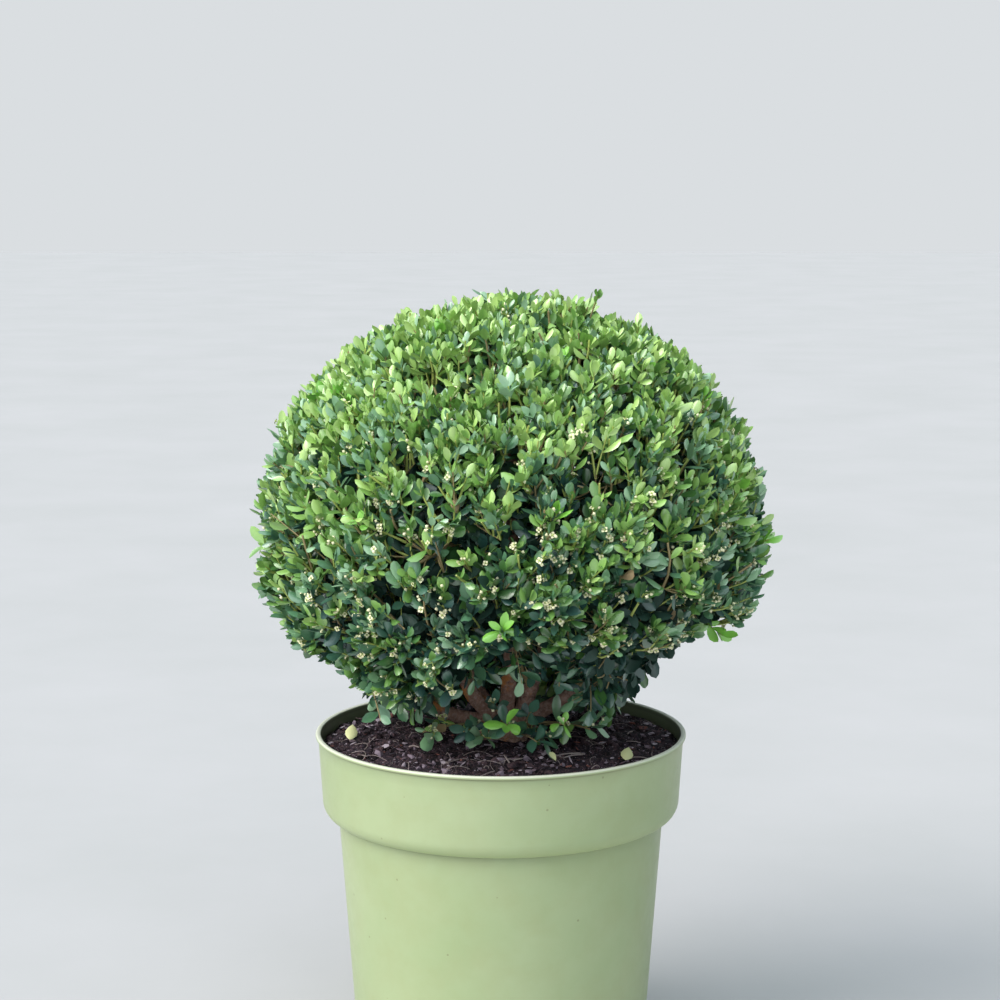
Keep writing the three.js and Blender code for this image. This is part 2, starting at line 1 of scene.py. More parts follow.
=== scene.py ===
"""A japanese holly clipped to a ball, in a lime green nursery pot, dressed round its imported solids.

Growth is worked out in millimetres and every mesh is in metres. The origin is the middle of the pot's
flat underside, +Z is up and -Y is the front. Azimuths are in degrees about +Z: 0 is the plant's right.
"""

import logging
import math
from collections.abc import Iterable
from dataclasses import dataclass
from enum import Enum
from functools import cache

import bmesh
import bpy
import numpy as np
from bpy.types import ID, Material, Mesh, Node, NodeSocket, NodeTree, Object
from mathutils import Euler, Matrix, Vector, noise


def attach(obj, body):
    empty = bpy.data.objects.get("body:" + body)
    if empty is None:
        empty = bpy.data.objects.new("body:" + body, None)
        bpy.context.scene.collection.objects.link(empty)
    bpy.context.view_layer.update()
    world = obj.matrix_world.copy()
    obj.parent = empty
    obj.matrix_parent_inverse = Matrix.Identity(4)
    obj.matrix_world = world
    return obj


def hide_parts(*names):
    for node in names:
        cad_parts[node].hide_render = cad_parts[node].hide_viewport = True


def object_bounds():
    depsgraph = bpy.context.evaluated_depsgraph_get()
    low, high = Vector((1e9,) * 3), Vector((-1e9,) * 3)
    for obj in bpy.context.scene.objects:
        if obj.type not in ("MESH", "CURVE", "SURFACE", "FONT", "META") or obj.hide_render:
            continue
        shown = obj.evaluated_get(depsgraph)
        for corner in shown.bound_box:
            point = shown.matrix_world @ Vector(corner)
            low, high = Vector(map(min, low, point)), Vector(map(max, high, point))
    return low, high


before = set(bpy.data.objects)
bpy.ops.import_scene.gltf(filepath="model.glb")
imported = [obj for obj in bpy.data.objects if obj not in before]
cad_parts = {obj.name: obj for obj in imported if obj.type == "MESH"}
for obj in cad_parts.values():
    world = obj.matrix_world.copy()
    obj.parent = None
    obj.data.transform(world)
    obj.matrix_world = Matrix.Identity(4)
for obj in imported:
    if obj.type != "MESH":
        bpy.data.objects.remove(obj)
CAD_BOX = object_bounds()

LOG = logging.getLogger("holly")
MM = 0.001
GOLDEN_ANGLE = math.pi * (3 - math.sqrt(5))
TURN = 2 * math.pi
UP = np.array([0.0, 0.0, 1.0])
WORD = 0xFFFFFFFF
Array = np.ndarray
Colour = tuple[int, int, int]
Pair = tuple[float, float]
Triple = tuple[float, float, float]
Part = tuple[np.ndarray, list]
Profile = list[Pair]


def linear(colour: Colour) -> tuple[float, float, float, float]:
    """Turns a screen colour, from 0 to 255, into the linear one that a shader takes."""
    shares = [c / 255 for c in colour]
    return (*(s / 12.92 if s <= 0.04045 else ((s + 0.055) / 1.055) ** 2.4 for s in shares), 1.0)


def unit(vectors: Array) -> Array:
    """Returns the vectors at a length of one."""
    return vectors / np.maximum(np.linalg.norm(vectors, axis=-1, keepdims=True), 1e-9)


def side_of(directions: Array) -> Array:
    """Returns a unit vector square to each direction, level where it can be."""
    steep = np.abs(directions[..., 2:3]) > 0.9
    return unit(np.cross(directions, np.where(steep, np.array([0.0, 1.0, 0.0]), UP)))


def polar(radius: float, azimuth: float, height: float, axis: Pair) -> Array:
    """Places a point by its distance and azimuth from an upright axis, and its height."""
    angle = math.radians(azimuth)
    return np.array([axis[0] + radius * math.cos(angle), axis[1] + radius * math.sin(angle), height])


def partway(span: Pair, shares: Array) -> Array:
    """Returns the values at shares of the way from a span's first value to its last."""
    return span[0] + (span[1] - span[0]) * shares


def turns(way: Array, facing: Array) -> Array:
    """Works out the turn that takes +Y to a way and +Z to a facing.

    Args:
        way: Directions, one a row.
        facing: Roughly square directions, one a row.

    Returns:
        Quaternions, one a row, with w first.
    """
    y = unit(way)
    x = unit(np.cross(y, facing))
    z = np.cross(x, y)
    w = np.sqrt(np.maximum(1e-12, 1 + x[:, 0] + y[:, 1] + z[:, 2])) / 2
    i = np.sqrt(np.maximum(0, 1 + x[:, 0] - y[:, 1] - z[:, 2])) / 2
    j = np.sqrt(np.maximum(0, 1 - x[:, 0] + y[:, 1] - z[:, 2])) / 2
    k = np.sqrt(np.maximum(0, 1 - x[:, 0] - y[:, 1] + z[:, 2])) / 2
    signs = (y[:, 2] - z[:, 1], z[:, 0] - x[:, 2], x[:, 1] - y[:, 0])
    parts = [np.copysign(part, sign) for part, sign in zip((i, j, k), signs)]
    return unit(np.stack([w, *parts], axis=1))


def clumps(points: Array, size: float, seed: float) -> Array:
    """Returns smooth noise from about -1 to 1 at each point.

    Args:
        points: Points in millimetres, one a row.
        size: How far apart the lumps are, in millimetres.
        seed: Shifts the noise to another place.

    Returns:
        One value a point.
    """
    return np.array([noise.noise(Vector(point) / size + Vector((seed, 0, 0))) for point in points.tolist()])


# Node trees


class Graph:
    """A node tree that is being wired, for geometry or for a shader."""

    def __init__(self, tree: NodeTree) -> None:
        """Takes the tree to wire."""
        self.tree = tree

    def feed(self, socket: NodeSocket, value: object) -> None:
        """Links a socket or a node's first output to an input, or sets the input's own value."""
        if isinstance(value, Node):
            value = next(s for s in value.outputs if s.enabled)
        if isinstance(value, NodeSocket):
            self.tree.links.new(value, socket)
        else:
            socket.default_value = value

    def add(self, kind: str, inputs: dict | None = None, **settings: object) -> Node:
        """Adds a node.

        Args:
            kind: The node's type.
            inputs: Values, sockets or nodes for its inputs, by name or number.
            **settings: The node's own settings.

        Returns:
            The node.
        """
        node = self.tree.nodes.new(kind)
        for name, value in settings.items():
            setattr(node, name, value)
        for key, value in (inputs or {}).items():
            self.feed(node.inputs[key], value)
        return node

    def math(self, operation: str, first: object, second: object = 0.0) -> Node:
        """Adds a Math node on two values."""
        return self.add("ShaderNodeMath", {0: first, 1: second}, operation=operation)

    def vector(self, operation: str, first: object, second: object) -> Node:
        """Adds a Vector Math node on two vectors, or on a vector and its scale."""
        key = "Scale" if operation == "SCALE" else 1
        return self.add("ShaderNodeVectorMath", {0: first, key: second}, operation=operation)

    def noise(self, vector: object, scale: object, detail: float = 3.0, roughness: float = 0.5) -> Node:
        """Adds a Noise Texture."""
        inputs = {"Vector": vector, "Scale": scale, "Detail": detail, "Roughness": roughness}
        return self.add("ShaderNodeTexNoise", inputs)

    def between(self, value: object, low: object, high: object, bottom: float = 0.0,
                top: float = 1.0) -> Node:
        """Adds a clamped Map Range from low..high to bottom..top."""
        inputs = {"Value": value, "From Min": low, "From Max": high, "To Min": bottom, "To Max": top}
        return self.add("ShaderNodeMapRange", inputs)

    def own(self, name: str, kind: str) -> Node:
        """Adds the node that reads every point's own value under a name."""
        return self.add("GeometryNodeInputNamedAttribute", {"Name": name}, data_type=kind)

    def finish(self, shapes: object, material: object, chosen: object = True) -> Node:
        """Adds a Set Material node on some geometry, or on what is chosen of it."""
        inputs = {"Geometry": shapes, "Selection": chosen, "Material": material}
        return self.add("GeometryNodeSetMaterial", inputs)

    def blend(self, share: object, first: object, second: object) -> NodeSocket:
        """Adds a colour Mix node and returns its colour output."""
        node = self.add("ShaderNodeMix", {0: share, 6: first, 7: second}, data_type="RGBA")
        return node.outputs[2]

    def coats(self, base: Colour, *coats: tuple[object, float, Colour]) -> NodeSocket:
        """Lays colours over a base one by one, each by its mask, the most that shows of it and its tint."""
        colour = linear(base)
        for mask, share, tint in coats:
            colour = self.blend(self.math("MULTIPLY", mask, share), colour, linear(tint))
        return colour


SOCKET_KINDS = {float: "Float", int: "Int", tuple: "Vector"}


def new_group(name: str, inputs: dict[str, object], output: str = "Geometry") -> tuple:
    """Starts a node group with named sockets, for geometry, or for a shader that gives a mask.

    Args:
        name: The group's name.
        inputs: Each input's plain value, or its kind of socket where it has none.
        output: The output's name: Geometry or Mask.

    Returns:
        The graph, what its Group Input gives and the socket that takes the result.
    """
    of_shapes = output == "Geometry"
    tree = bpy.data.node_groups.new(name, "GeometryNodeTree" if of_shapes else "ShaderNodeTree")
    for label, value in inputs.items():
        kind = value if isinstance(value, str) else SOCKET_KINDS[type(value)]
        socket = tree.interface.new_socket(label, in_out="INPUT", socket_type=f"NodeSocket{kind}")
        if not isinstance(value, str):
            socket.default_value = value
    kind = "NodeSocketGeometry" if of_shapes else "NodeSocketFloat"
    tree.interface.new_socket(output, in_out="OUTPUT", socket_type=kind)
    graph = Graph(tree)
    return graph, graph.add("NodeGroupInput").outputs, graph.add("NodeGroupOutput").inputs[output]


# Meshes


def new_object(name: str, data: ID) -> Object:
    """Links a new object that holds a mesh, a light or a camera and returns it."""
    made = bpy.data.objects.new(name, data)
    bpy.context.scene.collection.objects.link(made)
    return made


def mesh_of(name: str, points: Array, faces: list, edges: list | Array = ()) -> Mesh:
    """Makes a smooth mesh.

    Args:
        name: The mesh's name.
        points: Its points, in metres.
        faces: Its faces, as rows of point numbers.
        edges: Its loose edges, where it has no faces.

    Returns:
        The mesh.
    """
    mesh = bpy.data.meshes.new(name)
    mesh.from_pydata(np.asarray(points).tolist(), np.asarray(edges).tolist(), faces)
    mesh.shade_smooth()
    return mesh


def give(mesh: Mesh, name: str, kind: str, values: Array) -> None:
    """Gives each point of a mesh a value of its own.

    Args:
        mesh: The mesh.
        name: The attribute's name.
        kind: FLOAT, INT, FLOAT_VECTOR or QUATERNION.
        values: One row a point.
    """
    attribute = mesh.attributes.new(name, kind, "POINT")
    field = "vector" if kind == "FLOAT_VECTOR" else "value"
    kept = np.int32 if kind == "INT" else np.float32
    attribute.data.foreach_set(field, np.ascontiguousarray(values, kept).ravel())


def evaluated(made: Object) -> None:
    """Keeps what an object's modifiers make of it as its plain mesh.

    Args:
        made: The object.
    """
    graph = bpy.context.evaluated_depsgraph_get()
    result = bpy.data.meshes.new_from_object(made.evaluated_get(graph), depsgraph=graph)
    made.modifiers.clear()
    made.data = result
    result.name = made.name
    for spare in (*SCATTER_VALUES, *TWIG_VALUES):
        if spare in result.attributes:
            result.attributes.remove(result.attributes[spare])


def grown(name: str, mesh: Mesh, tree: NodeTree, values: dict[str, object]) -> Object:
    """Runs a geometry tree on a mesh and keeps the result as a plain mesh.

    Args:
        name: The finished object's name.
        mesh: What the tree starts from.
        tree: The geometry tree.
        values: Values of its named inputs.

    Returns:
        The object, with no modifier left on it.
    """
    made = new_object(name, mesh)
    modifier = made.modifiers.new("Grow", "NODES")
    modifier.node_group = tree
    for item in tree.interface.items_tree:
        if item.in_out == "INPUT" and item.name in values:
            modifier[item.identifier] = values[item.name]
    evaluated(made)
    return made


def ring_faces(rings: list[list[int]]) -> list:
    """Joins rings of point numbers into faces that look outwards.

    Args:
        rings: The rings from the lowest up, a pole being one number over and over.

    Returns:
        Each face's point numbers.
    """
    faces = []
    for low, high in zip(rings, rings[1:]):
        for here in range(len(low)):
            after = (here + 1) % len(low)
            corners = tuple(dict.fromkeys((low[here], low[after], high[after], high[here])))
            if len(corners) > 2:
                faces.append(corners)
    return faces


def lathe(profile: Profile, sides: int) -> Part:
    """Turns a profile round the upright axis.

    Args:
        profile: Radius and height pairs in millimetres, from the foot of the axis to its top.
        sides: How many faces go round.

    Returns:
        Points in millimetres, and faces that look outwards.
    """
    angles = np.arange(sides) * TURN / sides
    points, rings = [], []
    for radius, height in profile:
        if radius < 1e-6:
            rings.append([len(points)] * sides)
            points.append((0, 0, height))
        else:
            rings.append(list(range(len(points), len(points) + sides)))
            points.extend((radius * math.cos(a), radius * math.sin(a), height) for a in angles)
    return np.array(points), ring_faces(rings)


def joined(*parts: Part) -> Part:
    """Joins parts, each its points and its faces, into one."""
    points, faces, first = [], [], 0
    for part_points, part_faces in parts:
        points.append(part_points)
        faces += [tuple(first + corner for corner in face) for face in part_faces]
        first += len(part_points)
    return np.concatenate(points), faces


def arc(centre: Pair, radius: float, start: float, end: float, steps: int) -> list:
    """Gives profile points round an arc.

    Args:
        centre: Radius and height of its centre.
        radius: Its own radius.
        start: First angle in degrees, 0 pointing outwards and 90 upwards.
        end: Last angle.
        steps: How many steps between them.

    Returns:
        Radius and height pairs.
    """
    angles = [math.radians(start + (end - start) * step / steps) for step in range(steps + 1)]
    return [(centre[0] + radius * math.cos(a), centre[1] + radius * math.sin(a)) for a in angles]


def place(piece: Object, slot: str, *nodes: str) -> None:
    """Joins a finished piece to the frame.

    Args:
        piece: The piece.
        slot: The record's material slot; it is not used.
        *nodes: The CAD nodes that it stands for.
    """
    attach(piece, "root")
    if nodes:
        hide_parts(*nodes)
    LOG.info("%s: %d triangles", piece.name, sum(len(face.vertices) - 2 for face in piece.data.polygons))


# Finishes


@cache
def mottle() -> NodeTree:
    """Builds the shader group that gives a soft cloudy mask from 0 to 1."""
    inputs = {"Vector": "Vector", "Scale": 40.0, "Low": 0.4, "High": 0.6}
    graph, given, end = new_group("Mottle", inputs, "Mask")
    cloud = graph.noise(given["Vector"], given["Scale"], 5.0, 0.6)
    graph.feed(end, graph.between(cloud, given["Low"], given["High"]))
    return graph.tree


@cache
def specks() -> NodeTree:
    """Builds the shader group that gives small separate specks, 1 on a speck and 0 between them."""
    graph, given, end = new_group("Specks", {"Vector": "Vector", "Scale": 200.0, "Size": 0.2}, "Mask")
    cells = graph.add("ShaderNodeTexVoronoi", {name: given[name] for name in ("Vector", "Scale")})
    graph.feed(end, graph.math("LESS_THAN", cells.outputs["Distance"], given["Size"]))
    return graph.tree


class Surface:
    """A material that is being wired round its Principled shader."""

    def __init__(self, name: str, **plain: float) -> None:
        """Starts the material, with plain values for the shader's inputs, by name with _ for a space."""
        self.material = bpy.data.materials.new(name)
        self.material.use_nodes = True
        self.graph = Graph(self.material.node_tree)
        self.shader = self.material.node_tree.nodes["Principled BSDF"]
        self.place = self.graph.add("ShaderNodeTexCoord").outputs["Object"]
        self.feed(**plain)

    def feed(self, **values: object) -> None:
        """Sets or feeds the shader's inputs, by name with _ for a space."""
        for name, value in values.items():
            self.graph.feed(self.shader.inputs[name.replace("_", " ")], value)

    def mask(self, tree: NodeTree, **values: float) -> Node:
        """Adds a shared effect on object coordinates, with its own values."""
        node = self.graph.add("ShaderNodeGroup", {}, node_tree=tree)
        for name, value in {"Vector": self.place, **values}.items():
            self.graph.feed(node.inputs[name], value)
        return node

    def bump(self, height: object, distance: float, strength: float = 1.0) -> None:
        """Raises the surface by a height from 0 to 1.

        Args:
            height: The height's node or socket.
            distance: What a height of 1 stands for, in millimetres.
            strength: How much of it shows.
        """
        inputs = {"Height": height, "Distance": distance * MM, "Strength": strength}
        self.feed(Normal=self.graph.add("ShaderNodeBump", inputs))


class Tone(Enum):
    """The leaves' ages and shades: warm ones, cool ones, the two that are neither and a new shoot's."""

    YOUNG = 0
    FRESH = 1
    GREEN = 2
    MOSS = 3
    OLIVE = 4
    WAXED = 5
    SILVER = 6
    FULL = 7
    DEEP = 8
    BLUE = 9
    SHADE = 10
    WITHERED = 11
    VIVID = 12


def ladder(*tones: Tone) -> Array:
    """Returns the numbers of tones that step down from bright to dark."""
    return np.array([tone.value for tone in tones])


# Each ladder steps from lit to shaded tones, dealt partly as painted light and shade.
WARM = ladder(Tone.YOUNG, Tone.FRESH, Tone.GREEN, Tone.MOSS, Tone.OLIVE, Tone.SHADE)
COOL = ladder(Tone.WAXED, Tone.SILVER, Tone.FULL, Tone.DEEP, Tone.BLUE, Tone.SHADE)


@dataclass(frozen=True)
class LeafFinish:
    """A waxy leaf: one plain colour under a clear skin, with the blade's fine ripple in its gloss."""

    tone: Tone
    colour: Colour
    roughness: float = 0.4
    gloss: float = 0.85
    shine: float = 0.8
    skin_roughness: float = 0.26
    skin_index: float = 1.6
    ripple: float = 420.0

    def material(self) -> Material:
        """Builds the material.

        Returns:
            The material.
        """
        surface = Surface(
            f"leaf_{self.tone.name.lower()}", Base_Color=linear(self.colour), Roughness=self.roughness,
            Specular_IOR_Level=self.shine, Coat_Weight=self.gloss, Coat_Roughness=self.skin_roughness,
            Coat_IOR=self.skin_index)
        surface.bump(surface.graph.noise(surface.place, self.ripple, 2.0), 0.5, 0.3)
        return surface.material


LEAVES = (
    LeafFinish(Tone.YOUNG, (171, 206, 117)),
    LeafFinish(Tone.FRESH, (140, 184, 94)),
    LeafFinish(Tone.GREEN, (106, 152, 74)),
    LeafFinish(Tone.MOSS, (70, 118, 55)),
    LeafFinish(Tone.OLIVE, (42, 81, 38)),
    # The two pale cool tones below: partly paler leaf colour, partly painted sky sheen.
    LeafFinish(Tone.WAXED, (155, 193, 155)),
    LeafFinish(Tone.SILVER, (119, 162, 119)),
    LeafFinish(Tone.FULL, (85, 131, 96)),
    LeafFinish(Tone.DEEP, (58, 101, 82)),
    LeafFinish(Tone.BLUE, (39, 77, 71), 0.45, 0.6, 0.6),
    LeafFinish(Tone.SHADE, (38, 66, 56), 0.6, 0.1, 0.35),
    LeafFinish(Tone.WITHERED, (158, 136, 100), 0.7, 0.0),
    LeafFinish(Tone.VIVID, (132, 198, 76)),
)


@dataclass(frozen=True)
class PlainFinish:
    """A small plain part such as a petal or a green twig, with a faint grain."""

    name: str
    colour: Colour
    roughness: float = 0.6
    grain: float = 900.0

    def material(self) -> Material:
        """Builds the material.

        Returns:
            The material.
        """
        surface = Surface(
            self.name, Base_Color=linear(self.colour), Roughness=self.roughness, Specular_IOR_Level=0.4)
        surface.bump(surface.graph.noise(surface.place, self.grain, 2.0), 0.3, 0.4)
        return surface.material


FLOWERS = (PlainFinish("petal", (238, 234, 194), 0.55), PlainFinish("flower_stem", (176, 190, 110), 0.55))
TWIGS = (PlainFinish("twig_green", (166, 178, 96), 0.55), PlainFinish("twig_brown", (152, 136, 98), 0.8))
FIBRES = (PlainFinish("fibre_pale", (162, 148, 146), 0.8), PlainFinish("fibre_dark", (82, 66, 68), 0.8))


@dataclass(frozen=True)
class BarkFinish:
    """Red-brown young bark, paler where it is worn, with orange lichen in patches."""

    base: Colour = (124, 94, 84)
    worn: Colour = (174, 136, 120)
    pale: Colour = (200, 176, 164)
    lichen: Colour = (206, 134, 62)

    def material(self) -> Material:
        """Builds the material.

        Returns:
            The material.
        """
        surface = Surface("bark", Specular_IOR_Level=0.3)
        graph = surface.graph
        cloud = surface.mask(mottle(), Scale=160.0, Low=0.35, High=0.65)
        streaks = surface.mask(mottle(), Scale=420.0, Low=0.45, High=0.7)
        patches = surface.mask(mottle(), Scale=42.0, Low=0.55, High=0.62)
        surface.feed(
            Base_Color=graph.coats(
                self.base, (cloud, 1.0, self.worn), (streaks, 0.6, self.pale), (patches, 0.75, self.lichen)),
            Roughness=graph.between(streaks, 0.0, 1.0, 0.9, 0.7))
        surface.bump(graph.noise(surface.place, 700.0, 4.0, 0.6), 0.8, 0.8)
        return surface.material


@dataclass(frozen=True)
class PotFinish:
    """Lime green moulded plastic with a satin skin, faint scuffs, a dirty mossy foot, a painted highlight on
    the lip, painted shadow lines under the lip and the collar, painted light in the collar's tuck and painted
    shade on the inner wall.

    Its bands are heights and radii in metres: where each one rises and, for most, where it falls again.
    """

    base: Colour = (155, 171, 127)
    pale: Colour = (168, 181, 141)
    tint: Colour = (152, 154, 108)
    # painted light: paler colour in the collar's tuck, where the shade falls
    painted_tuck_light: Colour = (182, 198, 142)
    # dark colour of the dirty foot and the scuff marks, and of the painted shadow lines under the lip and the
    # collar
    dirt_and_shadow: Colour = (112, 104, 78)
    moss: Colour = (84, 92, 44)
    # painted highlight: near-white colour along the lip's top
    painted_lip_highlight: Colour = (234, 234, 222)
    # painted shade on the inner wall above the compost
    inner_wall_shade: Colour = (58, 62, 48)
    foot_fall: tuple = (0.0, 0.03)
    # painted shadow line where the collar tucks onto the body
    collar_shadow_band: tuple = ((0.1855, 0.1864), (0.1868, 0.1876))
    tuck_band: tuple = ((0.1866, 0.1876), (0.189, 0.197))
    # painted shadow line under the lip
    under_lip_band: tuple = ((0.246, 0.2468), (0.2478, 0.2482))
    lip_rise: tuple = (0.2486, 0.2496)
    lining_fall: tuple = (0.136, 0.1366)
    lining_rise: tuple = (0.236, 0.2365)

    def band(self, graph: Graph, height: object, rise: tuple, fall: tuple) -> Node:
        """Gives a mask that rises and falls again between heights."""
        return graph.math("MULTIPLY", graph.between(height, *rise), graph.between(height, *fall, 1.0, 0.0))

    def material(self) -> Material:
        """Builds the material.

        Returns:
            The material.
        """
        surface = Surface("pot_plastic", Specular_IOR_Level=0.35)
        graph = surface.graph
        height = graph.add("ShaderNodeSeparateXYZ", {0: surface.place}).outputs["Z"]
        flat = graph.vector("MULTIPLY", surface.place, (1.0, 1.0, 0.0))
        radius = graph.add("ShaderNodeVectorMath", {0: flat}, operation="LENGTH").outputs["Value"]
        near = graph.between(radius, *self.lining_fall, 1.0, 0.0)
        # painted shade: darkens the inner wall above the compost
        inside = graph.math("MULTIPLY", near, graph.between(height, *self.lining_rise))
        cloud = surface.mask(mottle(), Scale=9.0, Low=0.3, High=0.7)
        smear = surface.mask(mottle(), Scale=34.0, Low=0.42, High=0.72)
        marks = surface.mask(specks(), Scale=50.0, Size=0.045)
        splash = surface.mask(specks(), Scale=210.0, Size=0.13)
        foot = graph.math("MULTIPLY", graph.between(height, *self.foot_fall, 1.0, 0.0), smear)
        # painted light in the collar's tuck
        tuck = self.band(graph, height, *self.tuck_band)
        # painted shadow line under the collar
        collar_shadow = self.band(graph, height, *self.collar_shadow_band)
        # painted highlight along the top of the lip
        lip = graph.between(height, *self.lip_rise)
        # painted shadow line under the lip
        under_lip = self.band(graph, height, *self.under_lip_band)
        scratches = graph.noise(surface.place, 90.0, 6.0, 0.7)
        surface.feed(
            Base_Color=graph.coats(
                self.base, (cloud, 1.0, self.pale), (smear, 0.22, self.tint), (tuck, 0.6, self.painted_tuck_light),
                (collar_shadow, 0.6, self.dirt_and_shadow), (under_lip, 0.4, self.dirt_and_shadow), (marks, 0.45, self.dirt_and_shadow),
                (foot, 0.5, self.dirt_and_shadow), (graph.math("MULTIPLY", splash, foot), 1.0, self.moss),
                (lip, 0.7, self.painted_lip_highlight), (inside, 0.7, self.inner_wall_shade)),
            Roughness=graph.between(scratches, 0.3, 0.7, 0.32, 0.46))
        surface.bump(graph.math("ADD", graph.noise(surface.place, 1500.0, 2.0), scratches), 0.05, 0.5)
        return surface.material


@dataclass(frozen=True)
class CompostFinish:
    """Damp dark compost: near black, with browner and redder crumbs."""

    name: str = "compost"
    dark: Colour = (14, 11, 17)
    base: Colour = (53, 43, 54)
    red: Colour = (124, 92, 96)
    fleck: Colour = (186, 174, 184)

    def material(self) -> Material:
        """Builds the material.

        Returns:
            The material.
        """
        surface = Surface(self.name, Specular_IOR_Level=0.35)
        graph = surface.graph
        cloud = surface.mask(mottle(), Scale=90.0, Low=0.38, High=0.62)
        fine = surface.mask(mottle(), Scale=500.0, Low=0.5, High=0.72)
        flecks = surface.mask(specks(), Scale=330.0, Size=0.15)
        surface.feed(
            Base_Color=graph.coats(
                self.dark, (cloud, 1.0, self.base), (fine, 0.6, self.red), (flecks, 0.7, self.fleck)),
            Roughness=graph.between(fine, 0.0, 1.0, 0.9, 0.6))
        surface.bump(graph.noise(surface.place, 900.0, 4.0, 0.7), 1.2, 0.9)
        return surface.material


# The source's rule of growth, in millimetres


@dataclass(frozen=True)
class Stem:
    """One stem: its mass's azimuth, its bend, its foot on the hollow's wall and its radius."""

    name: str
    azimuth: float
    bend_azimuth: float
    bend: float
    bend_height: float
    foot: float
    foot_height: float
    radius: float


STEMS = (
    Stem("left", 180, 194, 58, 271, 80, 296, 4.8),
    Stem("front_left", 240, 203, 33, 289, 71, 334, 5.2),
    Stem("front_right", 300, 330, 26, 295, 71, 336, 5.4),
    Stem("right", 0, 353, 50, 279, 80, 302, 5.2),
    Stem("back_right", 60, 48, 36, 292, 71, 334, 5.0),
    Stem("back_left", 120, 134, 38, 287, 72, 331, 5.0),
    Stem("top", 270, 292, 9, 303, 4, 392, 5.6),
)
TOP = len(STEMS) - 1


class SeededNumbers:
    """The source's seeded numbers between 0 and 1."""

    def __init__(self, seed: int) -> None:
        """Takes the seed."""
        self.state = seed & WORD

    def next(self) -> float:
        """Draws the next number."""
        self.state = (self.state + 0x6D2B79F5) & WORD
        mixed = ((self.state ^ (self.state >> 15)) * (self.state | 1)) & WORD
        mixed ^= (mixed + (mixed ^ (mixed >> 7)) * (mixed | 61)) & WORD
        return ((mixed ^ (mixed >> 14)) & WORD) / 4294967296


def deal_directions(count: int, seed: int) -> Array:
    """Deals directions evenly over a ball by the golden angle, each nudged a little.

    Args:
        count: How many.
        seed: Seed of the nudges.

    Returns:
        Unit directions, one a row.
    """
    numbers = SeededNumbers(seed)
    nudge = 0.6 / math.sqrt(count)
    dealt = []
    for index in range(count):
        height = 1 - 2 * (index + 0.5) / count
        angle = index * GOLDEN_ANGLE + nudge * (numbers.next() - 0.5)
        across = math.sqrt(1 - height * height)
        lift = nudge * (numbers.next() - 0.5)
        dealt.append((across * math.cos(angle), across * math.sin(angle), height + lift))
    return unit(np.array(dealt))


def smooth_line(knots: list[Array], steps: int = 160) -> Array:
    """Draws a centripetal Catmull-Rom line through knots, with even steps along it.

    Args:
        knots: Three or more points.
        steps: How many steps.

    Returns:
        Points, one a row.
    """
    knots = [2 * knots[0] - knots[1], *knots, 2 * knots[-1] - knots[-2]]
    shares = np.linspace(0, 1, 60)[:, None]
    line = []
    for p0, p1, p2, p3 in zip(knots, knots[1:], knots[2:], knots[3:]):
        d0, d1, d2 = (math.sqrt(np.linalg.norm(b - a)) for a, b in ((p0, p1), (p1, p2), (p2, p3)))
        t1 = ((p1 - p0) / d0 - (p2 - p0) / (d0 + d1) + (p2 - p1) / d1) * d1
        t2 = ((p2 - p1) / d1 - (p3 - p1) / (d1 + d2) + (p3 - p2) / d2) * d1
        cubic = 2 * p1 - 2 * p2 + t1 + t2
        square = -3 * p1 + 3 * p2 - 2 * t1 - t2
        line.append(p1 + shares * t1 + shares**2 * square + shares**3 * cubic)
    line = np.concatenate([part[:-1] for part in line] + [line[-1][-1:]])
    reach = np.concatenate([[0], np.cumsum(np.linalg.norm(np.diff(line, axis=0), axis=1))])
    even = np.linspace(0, reach[-1], steps + 1)
    return np.stack([np.interp(even, reach, line[:, axis]) for axis in range(3)], axis=1)


